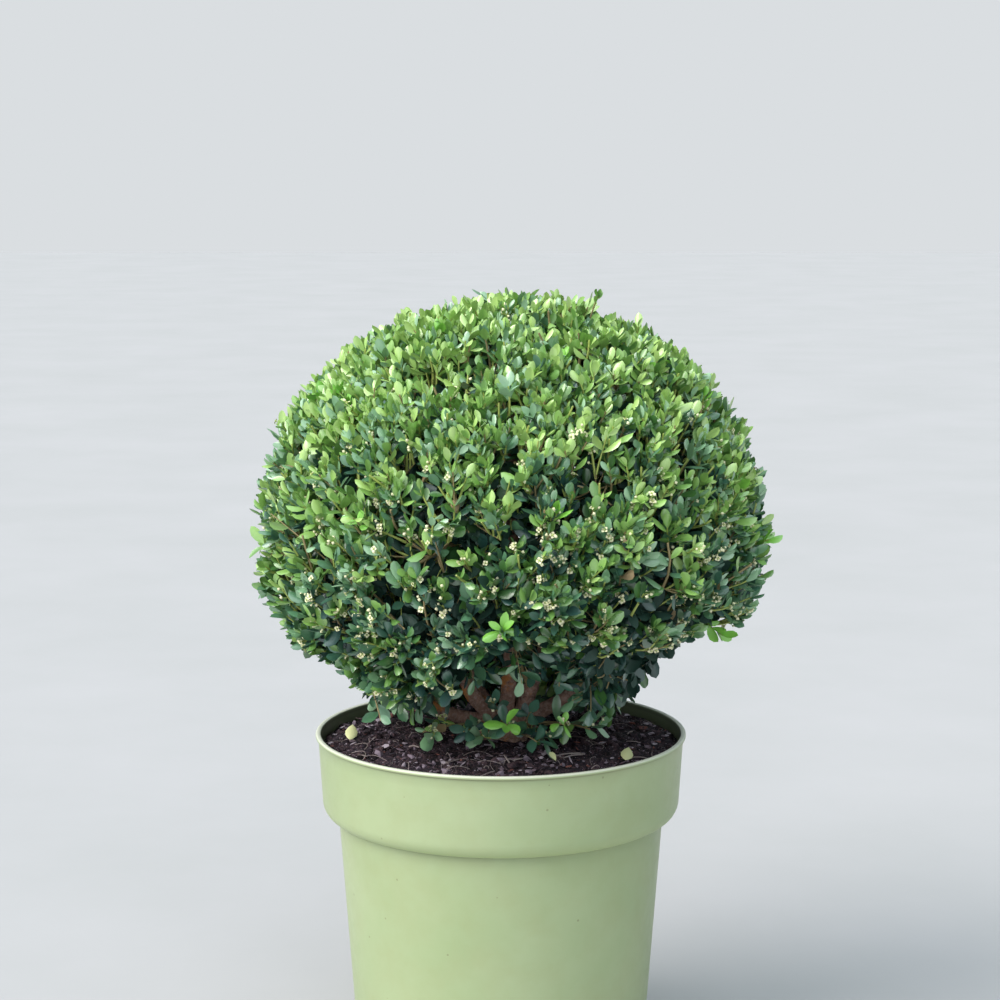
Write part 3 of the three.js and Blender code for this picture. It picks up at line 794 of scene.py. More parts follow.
@dataclass(frozen=True)
class Space:
    """The clipped ball, its shares and the hollow under it."""

    centre: Triple = (8.5, 0.0, 397.0)
    across: float = 202.0
    up: float = 192.0
    down: float = 146.0
    top_apothem: float = 80.0
    top_floor: float = 372.0
    dome: tuple = ((82, 240), (90, 298), (80, 340), (58, 380), (28, 400), (0, 405))
    arch_x: float = 18.0
    arch_half_width: float = 52.0
    arch_half_height: float = 40.0
    arch_middle: float = 278.0
    arch_slope: float = 0.2
    under_right: tuple = ((282, 98), (304, 106), (320, 128), (338, 146), (352, 210))
    right_from: float = 40.0
    slice_width: float = 60.0
    front_depth: float = 10.0
    front_sides: Pair = (-70.0, 66.0)

    def measure(self, points: Array) -> Array:
        """Returns 1 on the surface that the furthest leaf tips reach, and less inside it."""
        offset = points - np.array(self.centre)
        height = np.where(offset[..., 2] > 0, self.up, self.down)
        scaled = offset / np.stack([np.full_like(height, self.across)] * 2 + [height], axis=-1)
        return np.linalg.norm(scaled, axis=-1)

    def outward(self, points: Array) -> Array:
        """Returns the unit direction out of the ball at each point."""
        return unit(points - np.array(self.centre))

    def at_depth(self, directions: Array, depths: Array | float) -> Array:
        """Places points along directions from the ball's centre, at shares of its depth."""
        centre = np.array(self.centre)
        return centre + directions * (np.asarray(depths) / self.measure(centre + directions))[:, None]

    def ring(self, reach: Array, heights: Array) -> Array:
        """Deals points round the ball's axis by the golden angle, at given reaches and heights."""
        angles = np.arange(len(reach)) * GOLDEN_ANGLE
        return np.stack([self.centre[0] + reach * np.cos(angles), reach * np.sin(angles), heights], axis=1)

    def wall(self, heights: Array | float) -> Array:
        """Returns the radius of the dome round the stems at each height."""
        radii, levels = zip(*self.dome)
        return np.interp(heights, levels, radii, right=0.0)

    def in_hollow(self, points: Array, spare: float = 0.0) -> Array:
        """Tells which points lie in the dome round the stems or in the arch to the front.

        Args:
            points: The points.
            spare: How much the hollow shrinks on each side.

        Returns:
            True for each point inside.
        """
        x, y, z = points[..., 0], points[..., 1], points[..., 2]
        across = (x - self.arch_x) / (self.arch_half_width - spare)
        rise = (z - self.arch_middle + self.arch_slope * y) / (self.arch_half_height - spare)
        in_arch = (y < 0) & ((np.hypot(across, rise) < 1) | ((np.abs(across) < 1) & (rise < 0)))
        return (np.hypot(x - self.centre[0], y) < self.wall(z) - spare) | in_arch

    def in_front(self, points: Array) -> Array:
        """Tells which points stand in front of the stems, where they show."""
        left, right = self.front_sides
        return (points[..., 1] < self.front_depth) & (points[..., 0] > left) & (points[..., 0] < right)

    def cut_away(self, points: Array, spare: float = 0.0) -> Array:
        """Tells which points lie where the ball's low right is cut in, or a spare reach past that."""
        levels, reaches = zip(*self.under_right)
        reach = np.hypot(points[..., 0] - self.centre[0], points[..., 1])
        furthest = np.interp(points[..., 2], levels, reaches, right=math.inf) + spare
        return (points[..., 0] > self.right_from) & (reach > furthest)

    def share_of(self, points: Array) -> Array:
        """Returns the number of the stem whose share of the ball each point lies in."""
        x, y = points[..., 0] - self.centre[0], points[..., 1] - self.centre[1]
        azimuth = np.degrees(np.arctan2(y, x)) % 360
        nearest = np.round(azimuth / self.slice_width).astype(int) % TOP
        out = np.hypot(x, y) * np.cos(np.radians(azimuth - nearest * self.slice_width))
        in_top = (out < self.top_apothem) & (points[..., 2] > self.top_floor)
        return np.where(in_top, TOP, (nearest + TOP // 2) % TOP)


SPACE = Space()
AXIS = SPACE.centre[:2]
STUMP_AXIS = (4.0, 0.0)
SOIL_CREST = 247.0
STUMP_HEIGHT = 20.0


class Skeleton:
    """The stems' own lines, as the source draws them."""

    stub_end = 0.13
    root_ring = 9.0
    root_depth = 11.0
    up_share = 0.5
    out_share = 0.62
    fork_drop = 6.0
    foot_swell = 1.12
    taper = 0.5
    bough_steps = 24

    def __init__(self) -> None:
        """Draws every stem's line, and finds the share of it at which its bough enters its mass."""
        self.forks = [self.fork(stem) for stem in STEMS]
        self.lines = [self.line(stem, fork) for stem, fork in zip(STEMS, self.forks)]
        feet = [polar(stem.foot, stem.azimuth, stem.foot_height, AXIS) for stem in STEMS]
        self.ends = [int(np.argmin(np.linalg.norm(line - foot, axis=1))) / (len(line) - 1)
                     for line, foot in zip(self.lines, feet)]

    def fork(self, stem: Stem) -> Array:
        """Returns the point where a stem forks inside its mass."""
        height = SPACE.centre[2]
        if stem.name == "top":
            return polar(0, 0, height + SPACE.up * self.up_share, AXIS)
        return polar(SPACE.across * self.out_share, stem.azimuth, height - self.fork_drop, AXIS)

    def line(self, stem: Stem, fork: Array) -> Array:
        """Returns a stem's line from its root to its fork."""
        ring = 0 if stem.name == "top" else self.root_ring
        root = polar(ring, stem.bend_azimuth, SOIL_CREST + STUMP_HEIGHT - self.root_depth, STUMP_AXIS)
        bend = polar(stem.bend, stem.bend_azimuth, stem.bend_height, STUMP_AXIS)
        return smooth_line([root, bend, polar(stem.foot, stem.azimuth, stem.foot_height, AXIS), fork])

    def part(self, number: int, start: float, end: float, steps: int) -> tuple[Array, Array]:
        """Cuts a stretch out of a stem's line.

        Args:
            number: The stem's number.
            start: Share of the line where it starts.
            end: Share where it ends.
            steps: How many steps it has.

        Returns:
            Its points and its radii.
        """
        line, shares = self.lines[number], np.linspace(start, end, steps + 1)
        whole = np.linspace(0, 1, len(line))
        points = np.stack([np.interp(shares, whole, line[:, axis]) for axis in range(3)], axis=1)
        return points, STEMS[number].radius * (self.foot_swell - self.taper * shares)

    def near_bough(self, points: Array, spare: float) -> Array:
        """Tells which points lie within a spare distance of a bough."""
        close = np.zeros(points.shape[:-1], bool)
        for number, end in enumerate(self.ends):
            for centre, radius in zip(*self.part(number, 0, end, self.bough_steps)):
                close |= np.linalg.norm(points - centre, axis=-1) < radius + spare
        return close


@dataclass
class Order:
    """One order of branching: a bow from each foot to its tip, with its thickness and its mass."""

    feet: Array
    bends: Array
    tips: Array
    thick: Pair
    mass: Array

    def points(self, shares: Array) -> Array:
        """Returns the points at shares of every bow, as bows by shares by three."""
        t = shares[..., None]
        first, middle, last = self.feet[:, None], self.bends[:, None], self.tips[:, None]
        return (1 - t) ** 2 * first + 2 * t * (1 - t) * middle + t**2 * last

    def headings(self, shares: Array) -> Array:
        """Returns the unit direction at shares of every bow."""
        t = shares[..., None]
        first, middle, last = self.feet[:, None], self.bends[:, None], self.tips[:, None]
        return unit(2 * (1 - t) * (middle - first) + 2 * t * (last - middle))

    def kept(self, keep: Array) -> "Order":
        """Returns the order with only the bows marked to keep."""
        return Order(self.feet[keep], self.bends[keep], self.tips[keep], self.thick, self.mass[keep])


@dataclass(frozen=True)
class Joint:
    """How the bows of an order leave the growth that carries them, with lengths in millimetres.

    Stretch is the part of a parent that carries them, and thick their radius at the foot and at the tip.
    They follow their parent's heading, rise to the light, and look for a foot as far below the tip as they
    reach. Tips below the floor are left out.
    """

    stretch: Pair
    thick: Pair
    follow: float
    rise: float = 0.0
    reach: float = 0.0
    longest: float = math.inf
    in_hollow: bool = False
    floor: float = 0.0


TWIG_JOINT = Joint((0.7, 1.0), (1.9, 1.0), 0.3)
SPRIG_JOINT = Joint((0.25, 1.0), (0.95, 0.6), 0.4, 0.3)
OUTER_JOINT = Joint((0.35, 1.0), (1.15, 0.65), 0.3, 1.0, 23.0)
CUT_JOINT = Joint((0.35, 1.0), (1.15, 0.85), 0.3, 1.0, 23.0, floor=390.0)
INNER_JOINT = Joint((0.2, 1.0), (0.6, 0.4), 0.3, 0.3)
WALL_JOINT = Joint((0.3, 1.0), (0.5, 0.35), 0.5, 0.3, 0.0, 36.0, True)
SKIRT_JOINT = Joint((0.3, 1.0), (0.7, 0.4), 0.3, -0.2, 0.0, 60.0, True)


@dataclass
class GrowthRule:
    """The source's rule: dealt tips join the nearest growth of their own mass, order by order.

    Depths are shares of the way from the ball's centre to its surface, and lengths are in millimetres.
    """

    seed: int = 41
    limb_count: int = 40
    twig_count: int = 132
    sprig_count: int = 1400
    shoot_count: int = 6900
    inner_count: int = 3100
    wall_count: int = 1400
    skirt_count: int = 640
    cut_count: int = 400
    riser_count: int = 18
    limb_depth: float = 0.6
    limb_sag: float = 0.07
    limb_thick: Pair = (3.0, 1.9)
    twig_depth: float = 0.96
    twig_spread: float = 0.034
    twig_setback: float = 30.0
    sprig_depths: Pair = (0.75, 0.87)
    cut_depths: Pair = (0.9, 0.955)
    inner_depths: Pair = (0.7, 0.85)
    light_out: float = 0.5
    light_up: float = 0.75
    light_spread: float = 0.22
    spots: int = 9
    least_rise: float = 0.05
    inward_cost: float = 1200.0
    shortest: float = 4.0
    outer_depth: float = 0.918
    outer_lumps: float = 0.045
    outer_ragged: float = 0.06
    outer_limit: float = 0.958
    leader_share: float = 0.05
    leader_reach: float = 0.035
    thin_below: float = 520.0
    thin_over: float = 170.0
    thin_share: float = 0.4
    gap_level: float = 0.17
    hem_front: float = 300.0
    hem_back: float = 270.0
    hem_wave: float = 9.0
    wall_foot: float = 262.0
    wall_rise: float = 140.0
    wall_scatter: Pair = (-10.0, 20.0)
    wall_depth: float = 0.93
    skirt_reach: float = 116.0
    skirt_foot: float = 252.0
    riser_spread: float = 34.0
    riser_heights: Pair = (318.0, 366.0)
    riser_thick: Pair = (1.7, 1.0)

    def grow(self, skeleton: Skeleton) -> None:
        """Grows every order from the stems outwards.

        Args:
            skeleton: The stems' lines.
        """
        self.random = np.random.default_rng(self.seed)
        self.limbs = self.grow_limbs(skeleton)
        numbers = SeededNumbers(self.seed + 2)
        depths = [self.twig_depth + self.twig_spread * numbers.next() for _ in range(self.twig_count)]
        tips = self.dealt(self.twig_count, 1, np.array(depths))
        self.twigs = self.join(tips - SPACE.outward(tips) * self.twig_setback, [self.limbs], TWIG_JOINT)
        carriers = [self.limbs, self.twigs]
        self.sprigs = self.layer(self.sprig_count, 3, self.sprig_depths, carriers, SPRIG_JOINT)
        carriers = [self.sprigs, self.twigs]
        self.outer = self.grow_outer()
        self.cuts = self.layer(self.cut_count, 6, self.cut_depths, carriers, CUT_JOINT)
        self.inner = self.layer(self.inner_count, 5, self.inner_depths, carriers, INNER_JOINT)
        self.risers = self.grow_risers(skeleton)
        self.walls = self.grow_walls()
        self.skirt = self.grow_skirt()

    def dealt(self, count: int, step: int, depths: Array) -> Array:
        """Deals points over the ball at given depths, by a seed of their own."""
        return SPACE.at_depth(deal_directions(count, self.seed + step), depths)

    def layer(self, count: int, step: int, depths: Pair, carriers: list[Order], joint: Joint) -> Order:
        """Joins tips that are dealt over the ball at random depths."""
        return self.join(self.dealt(count, step, self.random.uniform(*depths, count)), carriers, joint)

    def grow_limbs(self, skeleton: Skeleton) -> Order:
        """Grows the limbs from each mass's fork.

        Args:
            skeleton: The stems' lines.

        Returns:
            The limbs.
        """
        ends = self.dealt(self.limb_count, 0, np.full(self.limb_count, self.limb_depth))
        ends = ends[~SPACE.in_hollow(ends)]
        mass = SPACE.share_of(ends)
        feet = np.array(skeleton.forks)[mass]
        length = np.linalg.norm(ends - feet, axis=1, keepdims=True)
        sag = self.random.normal(0, self.limb_sag, ends.shape) * length
        return Order(feet, (feet + ends) / 2 + sag, ends, self.limb_thick, mass)

    def join(self, tips: Array, parents: list[Order], joint: Joint) -> Order:
        """Joins each tip to the nearest spot on a parent of its own mass, further in than itself.

        Args:
            tips: The dealt tips.
            parents: The orders that may carry them.
            joint: How they are carried.

        Returns:
            The new order.
        """
        tips = tips[tips[:, 2] > joint.floor]
        if not joint.in_hollow:
            tips = tips[~SPACE.in_hollow(tips) & ~SPACE.cut_away(tips)]
        stray = self.random.normal(0, self.light_spread, tips.shape)
        light = unit(SPACE.outward(tips) * self.light_out + UP * self.light_up + stray)
        mass = SPACE.share_of(tips)
        shares = np.linspace(*joint.stretch, self.spots)
        rows = [np.tile(shares, (len(parent.feet), 1)) for parent in parents]
        spots = np.concatenate([parent.points(row).reshape(-1, 3) for parent, row in zip(parents, rows)])
        ways = np.concatenate([parent.headings(row).reshape(-1, 3) for parent, row in zip(parents, rows)])
        owners = np.concatenate([np.repeat(parent.mass, len(shares)) for parent in parents])
        depth, tip_depth = SPACE.measure(spots), SPACE.measure(tips)
        feet, heading = np.zeros_like(tips), np.zeros_like(tips)
        for number in range(len(STEMS)):
            here, own = np.flatnonzero(mass == number), np.flatnonzero(owners == number)
            if len(here) and len(own):
                aim = tips[here] - light[here] * joint.reach
                away = np.linalg.norm(aim[:, None] - spots[own][None], axis=2)
                inward = depth[own][None] + self.least_rise - tip_depth[here][:, None]
                away += self.inward_cost * np.maximum(0, inward)
                best = own[np.argmin(away, axis=1)]
                feet[here], heading[here] = spots[best], ways[best]
        length = np.linalg.norm(tips - feet, axis=1, keepdims=True)
        straight = unit(tips - feet)
        start = unit(straight * (1 - joint.follow) + heading * joint.follow)
        end = unit(straight + joint.rise * light)
        bends = (feet + start * length * 0.5 + tips - end * length * 0.5) / 2
        fits = (length[:, 0] > self.shortest) & (length[:, 0] < joint.longest)
        return Order(feet, bends, tips, joint.thick, mass).kept(fits)

    def grow_outer(self) -> Order:
        """Grows the ball's clipped surface, in tufts with gaps between them.

        Returns:
            The shoots.
        """
        directions = deal_directions(self.shoot_count, self.seed + 4)
        surface = SPACE.at_depth(directions, 1.0)
        lump = clumps(surface, 34, 3) + 0.6 * clumps(surface, 15, 9)
        gap = clumps(surface, 19, 27) + 0.5 * clumps(surface, 44, 31)
        draw, count = self.random, self.shoot_count
        depths = self.outer_depth + self.outer_lumps * lump - self.outer_ragged * draw.random(count) ** 2
        leader = draw.random(count) < self.leader_share
        depths = np.minimum(np.where(leader, depths + self.leader_reach, depths), self.outer_limit)
        tips = SPACE.at_depth(directions, depths)
        low = np.clip((self.thin_below - surface[:, 2]) / self.thin_over, 0, 1)
        thinned = draw.random(count) > self.thin_share * low
        hem = np.where(tips[:, 1] < 30, self.hem_front, self.hem_back) + self.hem_wave * lump
        tips = tips[(gap > -self.gap_level + self.gap_level * low) & thinned & (tips[:, 2] > hem)]
        return self.join(tips, [self.sprigs, self.twigs], OUTER_JOINT)

    def grow_walls(self) -> Order:
        """Grows the sparse shoots that face the hollow round the stems.

        Returns:
            The shoots.
        """
        heights = self.wall_foot + self.wall_rise * (np.arange(self.wall_count) + 0.5) / self.wall_count
        scatter = self.random.uniform(*self.wall_scatter, self.wall_count)
        tips = SPACE.ring(SPACE.wall(heights) + scatter, heights)
        tips = tips[(SPACE.measure(tips) < self.wall_depth) & (SPACE.share_of(tips) != TOP)]
        tips = tips[~SPACE.in_front(tips) | (tips[:, 2] > 308) | (tips[:, 0] > 48) & (tips[:, 2] > 285)]
        parents = [self.sprigs, self.twigs, self.limbs, self.risers]
        return self.join(tips, parents, WALL_JOINT)

    def grow_skirt(self) -> Order:
        """Hangs shoots from the ball's underside, lower at the back.

        Returns:
            The shoots.
        """
        angles = np.arange(self.skirt_count) * GOLDEN_ANGLE
        behind = np.sin(angles) > 0.2
        reach = self.random.uniform(np.where(behind, 58, 82), self.skirt_reach)
        feet = np.where(behind, self.skirt_foot, 282 + 0.25 * (reach - 82))
        tips = SPACE.ring(reach, feet + self.random.uniform(0, np.where(behind, 34, 22)))
        tips = tips[~SPACE.in_front(tips) & ((clumps(tips, 26, 5) > 0.06) | (tips[:, 1] > 20))]
        return self.join(tips, [self.sprigs, self.twigs, self.limbs], SKIRT_JOINT)

    def grow_risers(self, skeleton: Skeleton) -> Order:
        """Grows the thin bare twigs that rise from the boughs through the hollow.

        Args:
            skeleton: The stems' lines.

        Returns:
            The twigs.
        """
        draw, feet, tips = self.random, [], []
        mass = np.arange(self.riser_count) % TOP
        for number in mass:
            share = draw.uniform(0.14, skeleton.ends[number] * 0.75)
            feet.append(skeleton.part(number, share, share + 0.02, 1)[0][0])
            azimuth = STEMS[number].azimuth + draw.uniform(-self.riser_spread, self.riser_spread)
            height = draw.uniform(*self.riser_heights)
            tips.append(polar(float(SPACE.wall(height)) + 14, azimuth, height, AXIS))
        feet, tips = np.array(feet), np.array(tips)
        bends = (feet + tips) / 2 + draw.normal(0, 7, feet.shape) + UP * 6
        return Order(feet, bends, tips, self.riser_thick, mass)


# Leaves, twigs and blossom


class Blade:
    """The leaf's own outline, as a few faces, in shares of its length."""

    stations = ((0.16, 0.115), (0.4, 0.225), (0.66, 0.25), (0.88, 0.155))
    folds = ((-0.55, -0.12, 1.0), (-0.7, -0.22, 1.1), (0.4, -0.06, 0.88),
             (-0.45, -0.34, 1.0), (0.45, 0.1, 0.95), (-0.85, -0.14, 0.85))

    @classmethod
    def shape(cls, number: int) -> Mesh:
        """Builds one of the blades, one metre long along +Y from its root at the origin.

        Args:
            number: Which of the folds it takes.

        Returns:
            The blade.
        """
        fold, curl, wide = cls.folds[number]
        points = [(0, 0, 0)]
        for along, half in ((along, half * wide) for along, half in cls.stations):
            drop = curl * along**2
            edge = drop + fold * half
            points += [(-half, along, edge), (0, along, drop), (half, along, edge)]
        points.append((0, 1, curl))
        faces = [(0, 2, 1), (0, 3, 2)]
        for left in range(1, 3 * len(cls.stations) - 2, 3):
            faces += [(left, left + 1, left + 4, left + 3), (left + 1, left + 2, left + 5, left + 4)]
        tip = len(points) - 1
        faces += [(tip - 3, tip - 2, tip), (tip - 2, tip - 1, tip)]
        return mesh_of(f"blade_{number}", np.array(points, float), faces)


class Flower:
    """A small four-petalled flower on its stalk, and a bud on its stalk, in shares of the stalk's length."""

    stalk = 0.66
    petal = 0.34
    petal_half = 0.165
    ovary = 0.12
    stalk_radius = 0.045

    @classmethod
    def bead(cls, middle: float, radius: float, length: float, first: int) -> tuple[list, list]:
        """Gives an eight-faced bead along +Y, its points and its faces, numbered from first."""
        ring = [(radius, middle, 0), (0, middle, radius), (-radius, middle, 0), (0, middle, -radius)]
        points = [(0, middle - length, 0), *ring, (0, middle + length, 0)]
        faces = []
        for k in range(4):
            here, after = first + 1 + k, first + 1 + (k + 1) % 4
            faces += [(first, here, after), (first + 5, after, here)]
        return points, faces

    @classmethod
    def petals(cls) -> Mesh:
        """Builds the open petals.

        Returns:
            The petals.
        """
        points, faces = [], []
        rise = np.array([0.0, 1.0, 0.0])
        for angle in np.arange(4) * math.pi / 2:
            out = np.array([math.cos(angle), 0, math.sin(angle)])
            side = np.array([-math.sin(angle), 0, math.cos(angle)]) * cls.petal_half
            middle = out * cls.petal * 0.6 + rise * (cls.stalk + 0.1)
            tip = out * cls.petal + rise * (cls.stalk + 0.05)
            first = len(points)
            points += [out * 0.04 + rise * cls.stalk, middle + side, tip, middle - side]
            faces += [(first, first + 1, first + 2), (first, first + 2, first + 3)]
        return mesh_of("petals", np.array(points), faces)

    @classmethod
    def bud(cls) -> Mesh:
        """Builds the closed bud."""
        points, faces = cls.bead(cls.stalk + 0.12, 0.2, 0.22, 0)
        return mesh_of("bud", np.array(points), faces)

    @classmethod
    def stem(cls) -> Mesh:
        """Builds the three-sided stalk with the green bead at its end."""
        corners = [(cls.stalk_radius * math.cos(a), cls.stalk_radius * math.sin(a))
                   for a in (0, TURN / 3, TURN * 2 / 3)]
        points = [(x, height, z) for height in (0, cls.stalk) for x, z in corners]
        faces = [(k, k + 3, (k + 1) % 3 + 3, (k + 1) % 3) for k in range(3)]
        bead, bead_faces = cls.bead(cls.stalk + 0.08, cls.ovary, cls.ovary, len(points))
        return mesh_of("flower_stem", np.array(points + bead), faces + bead_faces)


class Prototypes:
    """Small shapes in a collection of their own, which scatter trees pick from in order."""

    def __init__(self, name: str, meshes: list[Mesh]) -> None:
        """Keeps the meshes outside the scene, so that only what is scattered shows."""
        self.count = len(meshes)
        self.collection = bpy.data.collections.new(name)
        for number, mesh in enumerate(meshes):
            self.collection.objects.link(bpy.data.objects.new(f"{name}_{number:02d}", mesh))


SCATTER_VALUES = {"turn": "QUATERNION", "size": "FLOAT_VECTOR", "shape": "INT", "tone": "INT"}
TWIG_VALUES = {"thick": "FLOAT", "young": "FLOAT"}


@cache
def scatter_tree(tones: int) -> NodeTree:
    """Builds the tree that sets a shape on every point, by the point's own turn, size, shape and tone.

    Args:
        tones: How many finishes it deals out by the points' tones.

    Returns:
        The tree. Its inputs are Shapes and a Finish for each tone.
    """
    inputs = {"Geometry": "Geometry", "Shapes": "Collection",
              **{f"Finish {tone}": "Material" for tone in range(tones)}}
    graph, given, end = new_group(f"Scatter {tones}", inputs)
    own = {label: graph.own(label, kind) for label, kind in SCATTER_VALUES.items()}
    shapes = graph.add("GeometryNodeCollectionInfo", {
        "Collection": given["Shapes"], "Separate Children": True, "Reset Children": True})
    set_out = graph.add("GeometryNodeInstanceOnPoints", {
        "Points": given["Geometry"], "Instance": shapes, "Pick Instance": True,
        "Instance Index": own["shape"], "Rotation": own["turn"], "Scale": own["size"]})
    result = graph.add("GeometryNodeRealizeInstances", {"Geometry": set_out})
    for tone in range(tones):
        both = {2: own["tone"], 3: tone}
        chosen = graph.add("FunctionNodeCompare", both, data_type="INT", operation="EQUAL")
        result = graph.finish(result, given[f"Finish {tone}"], chosen)
    graph.feed(end, result)
    return graph.tree


@cache
def twig_tree() -> NodeTree:
    """Builds the tree that turns lines into tapering round twigs.

    Returns:
        The tree. Its inputs are Sides, Young and Old.
    """
    inputs = {"Geometry": "Geometry", "Sides": 4, "Young": "Material", "Old": "Material"}
    graph, given, end = new_group("Twigs", inputs)
    thick, young = (graph.own(label, kind) for label, kind in TWIG_VALUES.items())
    curve = graph.add("GeometryNodeMeshToCurve", {"Mesh": given["Geometry"]})
    sides = {"Resolution": given["Sides"], "Radius": 1.0}
    ring = graph.add("GeometryNodeCurvePrimitiveCircle", sides)
    tube = graph.add("GeometryNodeCurveToMesh", {
        "Curve": curve, "Profile Curve": ring, "Scale": thick, "Fill Caps": True})
    smooth = graph.add("GeometryNodeSetShadeSmooth", {"Geometry": tube})
    real = graph.add("GeometryNodeRealizeInstances", {"Geometry": smooth})
    is_young = graph.add("FunctionNodeCompare", {0: young, 1: 0.5}, operation="GREATER_THAN")
    old = graph.finish(real, given["Old"])
    graph.feed(end, graph.finish(old, given["Young"], is_young))
    return graph.tree


@cache
def relief_tree() -> NodeTree:
    """Builds the tree that roughens a surface with lumps and finer grains.

    Returns:
        The tree. Lumps and grains each have a Scale and a Height, and Stretch draws the grains out. Noise
        above Middle raises the surface. Directions says which axes it moves on, and Level from what height.
    """
    inputs = {
        "Geometry": "Geometry", "Lump Scale": 60.0, "Lump Height": 0.001, "Grain Scale": 300.0,
        "Grain Height": 0.0005, "Stretch": (1.0, 1.0, 1.0), "Middle": 0.5, "Directions": (1.0, 1.0, 1.0),
        "Level": -1.0, "Finish": "Material"}
    graph, given, end = new_group("Relief", inputs)
    spot = graph.add("GeometryNodeInputPosition")
    lumps = graph.noise(spot, given["Lump Scale"], 2.0)
    drawn_out = graph.vector("MULTIPLY", spot, given["Stretch"])
    grains = graph.noise(drawn_out, given["Grain Scale"], 4.0, 0.6)
    lifts = [graph.math("MULTIPLY", graph.math("SUBTRACT", cloud, given["Middle"]), given[height])
             for cloud, height in ((lumps, "Lump Height"), (grains, "Grain Height"))]
    height = graph.add("ShaderNodeSeparateXYZ", {0: spot}).outputs["Z"]
    above = graph.math("MULTIPLY", graph.math("GREATER_THAN", height, given["Level"]), 2.0)
    way = graph.vector("MULTIPLY", graph.add("GeometryNodeInputNormal"), given["Directions"])
    offset = graph.vector("SCALE", way, graph.math("MULTIPLY", graph.math("ADD", *lifts), above))
    moved = graph.add("GeometryNodeSetPosition", {"Geometry": given["Geometry"], "Offset": offset})
    real = graph.add("GeometryNodeRealizeInstances", {"Geometry": moved})
    graph.feed(end, graph.finish(real, given["Finish"]))
    return graph.tree


@dataclass
class Scatter:
    """Points that each carry a turn, a size in millimetres, a shape, a tone and the mass they belong to."""

    points: Array
    turn: Array
    size: Array
    shape: Array
    tone: Array
    mass: Array

    def kept(self, keep: Array) -> "Scatter":
        """Returns the scatter with only the points marked to keep."""
        return Scatter(*(values[keep] for values in vars(self).values()))

    @classmethod
    def gathered(cls, parts: Iterable["Scatter"]) -> "Scatter":
        """Returns several scatters as one."""
        columns = zip(*(vars(part).values() for part in parts))
        return cls(*(np.concatenate(column) for column in columns))

    def build(self, name: str, shapes: Prototypes, finishes: list[Material]) -> Object:
        """Grows the scatter into one plain mesh.

        Args:
            name: The piece's name.
            shapes: What is scattered.
            finishes: The finish of each tone.

        Returns:
            The object.
        """
        mesh = mesh_of(name, self.points * MM, [])
        rows = (self.turn, np.outer(self.size, (MM, MM, MM)), self.shape, self.tone)
        for (label, kind), row in zip(SCATTER_VALUES.items(), rows):
            give(mesh, label, kind, row)
        values = {f"Finish {tone}": finish for tone, finish in enumerate(finishes)}
        return grown(name, mesh, scatter_tree(len(finishes)), {"Shapes": shapes.collection, **values})


class TwigLines:
    """Lines that are to become twigs, with the radius and the age of every point."""

    def __init__(self, *orders: tuple[Order, int, bool]) -> None:
        """Takes every bow of some orders, each with its steps and whether most are young."""
        self.points: list[Array] = []
        self.thick: list[Array] = []
        self.young: list[bool] = []
        for order, steps, young in orders:
            lines = order.points(np.tile(np.linspace(0, 1, steps + 1), (len(order.feet), 1)))
            for number, line in enumerate(lines):
                self.add(line, np.linspace(*order.thick, steps + 1), young and number % 5 > 0)

    def add(self, line: Array, thick: Array, young: bool) -> None:
        """Adds one line."""
        self.points.append(line)
        self.thick.append(thick)
        self.young.append(young)

    def build(self, name: str, sides: int, young: Material, old: Material) -> Object:
        """Grows the lines into one plain mesh of twigs.

        Args:
            name: The piece's name.
            sides: How many faces go round a twig.
            young: Finish of the green twigs.
            old: Finish of the brown ones.

        Returns:
            The object.
        """
        counts = [len(line) for line in self.points]
        starts = np.cumsum([0, *counts[:-1]])
        heads = np.concatenate([np.arange(s, s + n - 1) for s, n in zip(starts, counts)])
        edges = np.stack([heads, heads + 1], axis=1)
        mesh = mesh_of(name, np.concatenate(self.points) * MM, [], edges)
        give(mesh, "thick", "FLOAT", np.concatenate(self.thick) * MM)
        give(mesh, "young", "FLOAT", np.repeat(np.array(self.young, float), counts))
        return grown(name, mesh, twig_tree(), {"Sides": sides, "Young": young, "Old": old})


@dataclass(frozen=True)
class LeafHabit:
    """How a shoot carries its leaves: how many, on what span of it, and how they lean and grow by rank."""

    count: int
    span: Pair
    lean: Pair
    length: Pair
    # light: shifts the leaves' tones brighter above 0 as painted light, darker below 0 as painted shade
    light: float = 0.0
    loose: bool = False
    tones: tuple[Tone, Tone] | None = None


# The inner leaves take darker tones as painted shade; the wall, skirt and low leaves take brighter ones as
# painted light.
OUTER = LeafHabit(7, (0.38, 1.0), (0.95, 0.3), (15.5, 11.0))
CUT = LeafHabit(3, (0.3, 0.75), (1.1, 0.8), (13.5, 12.5))
INNER = LeafHabit(4, (0.4, 1.0), (1.1, 0.6), (17.5, 14.0), -0.28)
WALL = LeafHabit(4, (0.4, 1.0), (1.0, 0.5), (15.0, 12.0), 0.2, True)
SKIRT = LeafHabit(6, (0.3, 1.0), (1.0, 0.4), (15.0, 12.5), 0.04, True)
LOW = LeafHabit(5, (0.45, 1.0), (0.9, 0.4), (15.5, 13.5), 0.1, True)


def in_box(points: Array, spare: float) -> Array:
    """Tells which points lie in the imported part's box, by a spare distance in millimetres."""
    low, high = (np.array(corner) / MM for corner in CAD_BOX)
    return np.all((points > low + spare) & (points < high - spare), axis=1)


